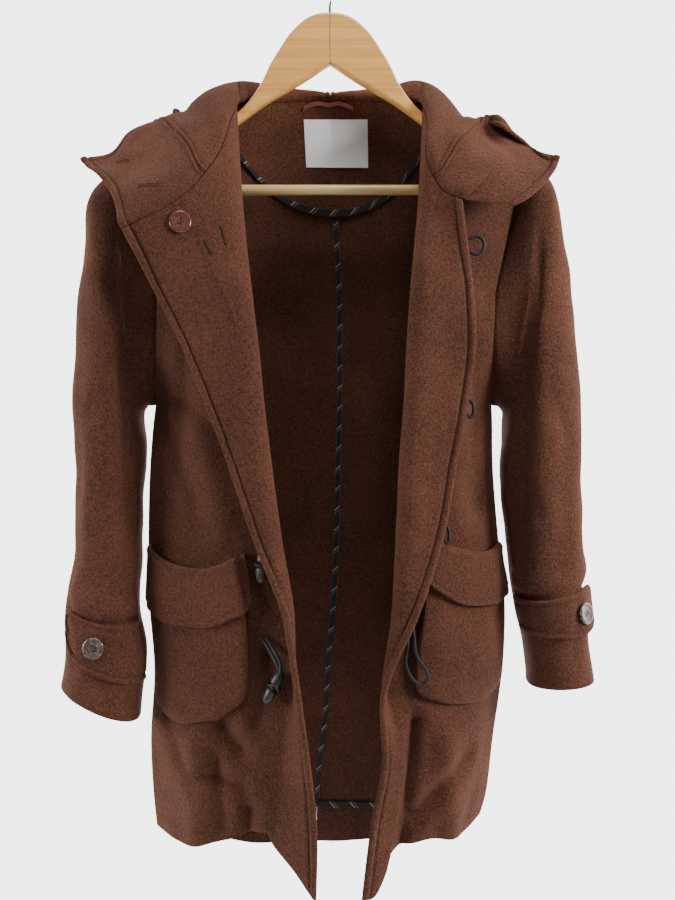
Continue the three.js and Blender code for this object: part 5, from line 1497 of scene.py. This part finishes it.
for word, side in SIDES.items():
    (a0, a1), _, half, button, tip = CUFF_TAB[side]
    k = np.concatenate([np.linspace(0, 0.14, 18), np.linspace(0.16, 0.98, 56), [0.988, 0.994, 0.998, 1]])
    b = np.concatenate([-1 + np.array([0, 0.01, 0.03, 0.06, 0.1, 0.15, 0.2]), np.linspace(-0.72, 0.72, 14),
                        1 - np.array([0.2, 0.15, 0.1, 0.06, 0.03, 0.01, 0])])
    width = mix(half[0], half[1], np.minimum(1, np.sqrt(k * 7))) * np.maximum(rounded(k * (a1 - a0), 11), 0.12)
    angle = mix(a0, a1, k)[:, None] + 0 * b
    ring = tab_ring(side, k)[:, None] + b[None] * width[:, None]
    points, normals = sleeves[side].at(angle, ring)
    from_tip, from_seam = lengths_along(points, 0)
    from_top, from_low = lengths_along(points, 1)
    rim = np.minimum(np.minimum(from_top, from_low), from_tip)
    near = TAB_OVER + tip * np.clip(1 - k / 0.22, 0, 1)[:, None] ** 1.6 + 0 * rim
    far = near + 0.05 + CLOTH * rounded(rim, 1.8) + topstitched(rim, 1.2, 1.1, 7)
    wall(f"cuff_tab_{word}_cloth", points + near[..., None] * normals, points + far[..., None] * normals,
         WOOL, [f"cuff_tab_{word}"], uv=cloth_uv(points))
    face = points + (far - 0.02)[..., None] * normals
    cols = np.arange(12, len(k))
    for from_side in (from_top, from_low):
        rows = [int(np.argmin(np.abs(from_side[c] - 7))) for c in cols]
        stitch_line(f"cuff_{word}", face[cols, rows], normals[cols, rows])

# %% Buttons


def button_outline(radius, thick):
    """Outline of a button: flat back, rounded rim and a dished face."""
    a = np.linspace(-np.pi / 2, np.pi / 2, 13)
    rim = np.column_stack([radius - thick / 2 + thick / 2 * np.cos(a), thick / 2 + thick / 2 * np.sin(a)])
    r = np.linspace(radius - thick / 2 - 0.4, 0.02, 10)
    dish = thick - 0.75 * np.sin(np.clip((radius - thick / 2 - r) / (radius * 0.55), 0, 1) * np.pi / 2)
    return np.concatenate([[(0.02, 0), (radius * 0.5, 0)], rim, np.column_stack([r, dish])])


def four_holes(button, frame, spread, radius):
    """Cuts four round holes through a button."""
    centre, first, second, third = frame
    cutters = []
    for x, y in ((1, 1), (1, -1), (-1, 1), (-1, -1)):
        spot = centre + spread * (x * first + y * second)
        rod = np.array([(0.02, -2), (radius, -2), (radius, 8), (0.02, 8)])
        cutters.append(turned("cutter", rod, (spot, first, second, third), None, around=14))
        PIECES.pop()
    for cutter in cutters:
        cut = button.modifiers.new("hole", "BOOLEAN")
        cut.operation, cut.solver, cut.object = "DIFFERENCE", "EXACT", cutter
    graph = bpy.context.evaluated_depsgraph_get()
    mesh = bpy.data.meshes.new_from_object(button.evaluated_get(graph))
    button.modifiers.clear()
    button.data = mesh
    for cutter in cutters:
        bpy.data.objects.remove(cutter)


def button_finish(name, low, high, rim):
    shell = Finish(name, Roughness=0.24, Coat_Weight=0.5, Coat_Roughness=0.06)
    clouds = shell.noise(170, 4, 0.6, distort=1.4)
    fine = shell.noise(600, 2)
    colour = shell.colours((clouds * 0.8 + fine * 0.2).ramp(0.38, 0.66), rgb(*low), rgb(*high))
    colour = shell.colours(clouds.ramp(0.62, 0.75) * 0.5, colour, rgb(*rim))
    return shell.set(Base_Color=colour, Normal=shell.bump(clouds, 0.0002, 0.3))


GREY_HORN = button_finish("grey_horn", (58, 44, 42), (124, 104, 98), (160, 146, 140))
ROSE_HORN = button_finish("rose_horn", (74, 38, 34), (116, 66, 58), (150, 100, 92))


def sew_button(node, spot, normal, towards, finish, turn=0.0, radius=12, thick=3.4):
    """A button with its holes and its thread, standing on spot along the normal."""
    frame = frame_about(spot, normal, towards)
    centre, first, second, third = frame
    a = np.radians(turn)
    first, second = np.cos(a) * first + np.sin(a) * second, np.cos(a) * second - np.sin(a) * first
    frame = (centre, first, second, third)
    button = turned(f"{node}_horn", button_outline(radius, thick), frame, finish, [node],
                    around=48, smooth_to=60)
    four_holes(button, frame, 2.1, 1.0)
    lines = []
    for way in (-1, 1):
        run = np.linspace(-1, 1, 9)
        arch = thick - 0.8 + 0.75 * (1 - run ** 4) - 0.6 * (run ** 6)
        lines.append(centre + way * 2.1 * second + 2.3 * run[:, None] * first + arch[:, None] * third)
    for line in lines:
        for off in (-0.34, 0.34):
            strand = line + off * second
            stitch_line("button_thread", strand, np.tile(third, (9, 1)), pitch=1.2, share=1.1, thick=0.42,
                        sink=0)


for word, side in SIDES.items():
    (a0, a1), _, half, button, tip = CUFF_TAB[side]
    k = (button - a0) / (a1 - a0)
    spot, normal = sleeves[side].at(button, tab_ring(side, k))
    sew_button(f"cuff_button_{word}", spot + normal * (TAB_OVER + CLOTH + 0.25), normal, (0, 0, 1), GREY_HORN,
               turn=25 * side)
spot, normal = fronts[RIGHT].at(6.05, 0.26)
sew_button("neck_button", spot - normal * 2.6, -normal, (0, 0, 1), ROSE_HORN, turn=32)
print("pieces so far:", len(PIECES))

# %% [markdown]
# ## Hanger
#
# The hanger is cut from a board along its outline and rounded with a router, in two halves glued at
# the middle, and a dowel joins the ends of the arms. Blender's flat curve does the same: a filled
# outline with a thickness and a rounded edge. The hook is a bent steel wire with a ball at its tip.

# %% Finishes of the hanger


def wood_finish(name, pale, dark, lacquer, slope):
    wood = Finish(name, Roughness=0.32, Coat_Weight=lacquer, Coat_Roughness=0.12, Specular_IOR_Level=0.45)
    whole = wood.place()
    x, y, z = [wood.node("ShaderNodeSeparateXYZ", k, Vector=whole) for k in range(3)]
    half = wood.node("ShaderNodeCombineXYZ", X=x.absolute(), Y=y, Z=z)
    grain_line = wood.node("ShaderNodeMapping", Vector=half, Scale=(4, 90, 90), Rotation=(0, slope, 0))
    grain = wood.noise(1, 5, 0.6, grain_line, distort=0.4)
    pores = wood.noise(3.4, 3, 0.6, grain_line)
    amount = (grain * 0.75 + pores * 0.25).ramp(0.36, 0.66)
    colour = wood.colours(amount, rgb(*dark), rgb(*pale))
    if slope:
        joint = x.absolute() < 0.0005
        colour = wood.colours(joint * 0.7, colour, rgb(96, 60, 30))
    return wood.set(Base_Color=colour, Normal=wood.bump(grain, 0.0004, 0.35))


BEECH = wood_finish("honey_beech", (240, 184, 104), (208, 142, 66), 0.4, 0.5)
PALE = wood_finish("pale_dowel", (232, 200, 142), (208, 166, 104), 0.1, 0)
steel = Finish("bright_steel", Metallic=1.0, Roughness=0.2)
steel.shader.inputs["Base Color"].default_value = rgb(206, 208, 212)
STEEL = steel.set(Normal=steel.bump(steel.noise(400, 2), 0.0002, 0.15))

# %% Board, dowel and hook
HANGER_OUTLINE = np.array([
    (0, 66), (14, 67.5), (26, 72), (36, 79.5), (48, 92), (60, 110), (71, 128), (80, 147.5), (94, 168.5),
    (112, 186), (150, 203.5), (185, 226), (205, 241), (214, 255), (215, 268), (208, 281), (199, 285),
    (190.5, 280), (188, 262), (187, 251), (175, 236), (150, 219), (115, 201.5), (94, 186), (71, 170),
    (35, 149), (0, 126.5)], float)
top_half = np.column_stack([HANGER_OUTLINE[:, 0], -HANGER_OUTLINE[:, 1], 0 * HANGER_OUTLINE[:, 0]])
fine = smooth(top_half, np.linspace(0, len(top_half) - 1, 140))
around = np.concatenate([fine, fine[-2:0:-1] * (-1, 1, 1)])
curve = bpy.data.curves.new("hanger_outline", "CURVE")
curve.dimensions, curve.fill_mode = "2D", "BOTH"
spline = curve.splines.new("POLY")
spline.points.add(len(around) - 1)
spline.points.foreach_set("co", np.column_stack([around * MM, np.ones(len(around))]).reshape(-1))
spline.use_cyclic_u = True
curve.bevel_depth, curve.bevel_resolution, curve.offset = 3.5 * MM, 4, -3.5 * MM
curve.extrude = 3 * MM
board = bpy.data.objects.new("hanger_curve", curve)
scene.collection.objects.link(board)
graph = bpy.context.evaluated_depsgraph_get()
mesh = bpy.data.meshes.new_from_object(board.evaluated_get(graph))
bpy.data.objects.remove(board)
turn = np.array([(1, 0, 0, 0), (0, 0, -1, 0), (0, 1, 0, 0), (0, 0, 0, 1)], float)
mesh.transform(Matrix(turn.tolist()))
mesh.materials.clear()
mesh.materials.append(BEECH)
mesh.polygons.foreach_set("use_smooth", np.ones(len(mesh.polygons), bool))
mesh.set_sharp_from_angle(angle=np.radians(35))
hanger = bpy.data.objects.new("hanger_board", mesh)
scene.collection.objects.link(hanger)
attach(hanger, "root")
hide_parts("hanger_body")
PIECES.append(hanger)

BAR_HALF, BAR_DOWN = 188.6, 274
bar = [(0.02, -BAR_HALF), (5.9, -BAR_HALF), (6, 0.2 - BAR_HALF), (6, BAR_HALF - 0.2), (5.9, BAR_HALF),
       (0.02, BAR_HALF)]
turned("trouser_bar_dowel", bar, frame_about(place(RIGHT, BAR_DOWN, 0, 0), (1, 0, 0), (0, 0, 1)), PALE,
       ["trouser_bar"], around=28)

WIRE, HOOK_INSIDE = 3.5, 20
hook_radius = HOOK_INSIDE + WIRE / 2
stem = np.array([(0, 0, -65.7), (0, 0, -57), (2.5, 0, -49.5), (8, 0, -43.5)], float)
a = np.radians(np.linspace(-45, 222, 10))
arch = np.column_stack([hook_radius * np.cos(a), 0 * a, hook_radius * np.sin(a) - HOOK_INSIDE])
marks = np.concatenate([stem, arch])
path = smooth(marks, np.linspace(0, len(marks) - 1, 150))
along = unit(np.gradient(path, axis=0))
second = np.tile([0.0, 1, 0], (len(path), 1))
first = np.cross(along, second)
b = np.linspace(0, 2 * np.pi, 20, endpoint=False)
ring = np.cos(b)[:, None, None] * first + np.sin(b)[:, None, None] * second
taper = np.full(len(path), WIRE / 2)
tube = path + ring * taper[:, None]
tube[:, 0] = path[0] + ring[:, 0] * 0.02
tube[:, -1] = path[-1] + ring[:, -1] * 0.02
ids = np.arange(20 * len(path)).reshape(20, -1)
ids = np.concatenate([ids, ids[:1]])
faces = np.stack([ids[:-1, :-1], ids[1:, :-1], ids[1:, 1:], ids[:-1, 1:]], -1).reshape(-1, 4)
mesh_from("hook_wire", tube.reshape(-1, 3), faces, None, STEEL, ["hook"])
half_turn = np.linspace(-np.pi / 2, np.pi / 2, 15)
ball = np.column_stack([2.6 * np.cos(half_turn).clip(0.01), 2.6 * np.sin(half_turn)])
turned("hook_ball", ball, frame_about(path[-1], along[-1], (0, 1, 0)), STEEL)
print("hanger made, pieces:", len(PIECES))

# %% [markdown]
# ## The stitches become meshes
#
# Every group of stitches is joined into one mesh. The topstitching thread is brown, but it is made much
# darker than the cloth as painted shade for the channel it lies in, so a row reads as a dark line.

# %% Thread
# painted shade: the topstitching thread's brown is darkened to stand for the shadow in its channel
thread = Finish("brown_thread_painted_shade", Roughness=0.85)
twist = thread.noise(1800, 2)
SHADE_PAINTED_THREAD = thread.set(Base_Color=thread.colours(twist, rgb(26, 14, 11), rgb(52, 30, 23)))
dark_thread = Finish("dark_thread", Roughness=0.5)
DARK_THREAD = dark_thread.set(Base_Color=dark_thread.colours(dark_thread.noise(1800, 2), rgb(24, 24, 26),
                                                            rgb(58, 52, 50)))
pale_thread = Finish("pale_thread", Roughness=0.5)
PALE_THREAD = pale_thread.set(Base_Color=pale_thread.colours(pale_thread.noise(1800, 2), rgb(196, 198, 200),
                                                            rgb(232, 233, 234)))
THREADS = {"tape": DARK_THREAD, "button_thread": DARK_THREAD, "label": PALE_THREAD}
for group, lines in STITCHES.items():
    stitches = np.concatenate(lines)
    faces = (STITCH_FACES[None] + 10 * np.arange(len(stitches))[:, None, None]).reshape(-1, 3)
    mesh_from(f"stitches_{group}", stitches.reshape(-1, 3), faces, None, THREADS.get(group, SHADE_PAINTED_THREAD),
              smooth_to=180)
    print(group, len(stitches), "stitches")

# %% [markdown]
# ## The cut of every cloth piece
#
# The cut of each cloth piece is printed: its width and length, measured along the mesh itself, and its
# area, the sum of its small four-sided faces.

# %% Cuts
CARRIED_BY = {"hood": "back_yoke_cloth", "back": "hanger_board", "front": "hanger_board",
              "sleeve": "front_right_cloth", "pocket": "front_right_cloth", "cuff": "sleeve_right_cloth",
              "label": "back_neck_facing_cloth"}
NARROWEST = 0.01      # metres: a tape or ribbon narrower than this is trim and is not printed
for name, (width, length, area) in CUTS.items():
    if min(width, length) < NARROWEST:
        continue
    carrier = CARRIED_BY[name.split("_")[0]]
    if "left" in name:
        carrier = carrier.replace("right", "left")
    float(np.clip(area, 0.31 * width * length, width * length))
    print(f"{name}: {width * 1000:.0f} x {length * 1000:.0f} mm, {area:.4f} m2")

# %% [markdown]
# ## Light
#
# The coat is lit as in a small room: soft light from above and from the front, and a pale
# surrounding that is brightest behind it. The coat's own opening keeps its inside dark. A floor
# lies far below, outside the picture.

# %% Floor, surroundings and lamps
FLOOR_DOWN, FLOOR_HALF = 1.8, 1.0
corners = [(x * FLOOR_HALF, y * FLOOR_HALF, -FLOOR_DOWN) for x, y in ((-1, -1), (1, -1), (1, 1), (-1, 1))]
floor_mesh = bpy.data.meshes.new("floor")
floor_mesh.from_pydata(corners, [], [(0, 1, 2, 3)])
floor = bpy.data.objects.new("floor", floor_mesh)
scene.collection.objects.link(floor)
pale_floor = Finish("pale_floor", Roughness=0.9)
pale_floor.shader.inputs["Base Color"].default_value = (0.82, 0.83, 0.85, 1)
floor_mesh.materials.append(pale_floor.material)

world = bpy.data.worlds.new("pale_room")
scene.world = world
world.use_nodes = True
tree = world.node_tree
background = tree.nodes["Background"]
background.inputs["Color"].default_value = (0.93, 0.95, 0.97, 1)
direction = tree.nodes.new("ShaderNodeTexCoord")
parts = tree.nodes.new("ShaderNodeSeparateXYZ")
behind = tree.nodes.new("ShaderNodeMapRange")
for words, value in {"From Min": -0.25, "From Max": 0.7, "To Min": 0.14, "To Max": 4.6}.items():
    behind.inputs[words].default_value = value
tree.links.new(direction.outputs["Generated"], parts.inputs[0])
tree.links.new(parts.outputs["Y"], behind.inputs["Value"])
tree.links.new(behind.outputs["Result"], background.inputs["Strength"])


def soft_lamp(name, at, size, power, aim):
    """A square lamp of size metres at a place, aimed at another place."""
    data = bpy.data.lights.new(name, "AREA")
    data.size, data.energy = size, power
    lamp = bpy.data.objects.new(name, data)
    lamp.location = at
    lamp.rotation_euler = (Vector(aim) - Vector(at)).to_track_quat("-Z", "Y").to_euler()
    scene.collection.objects.link(lamp)


soft_lamp("window", (1.7, -0.8, 0), 0.6, 56, (0, 0, -0.5))
soft_lamp("room", (-1.9, -0.5, -0.4), 0.8, 38, (0, 0, -0.6))
soft_lamp("ceiling", (0.2, -1.1, 1.7), 0.7, 30, (0, 0, -0.4))

# %% Finish
print("pieces:", len(PIECES))
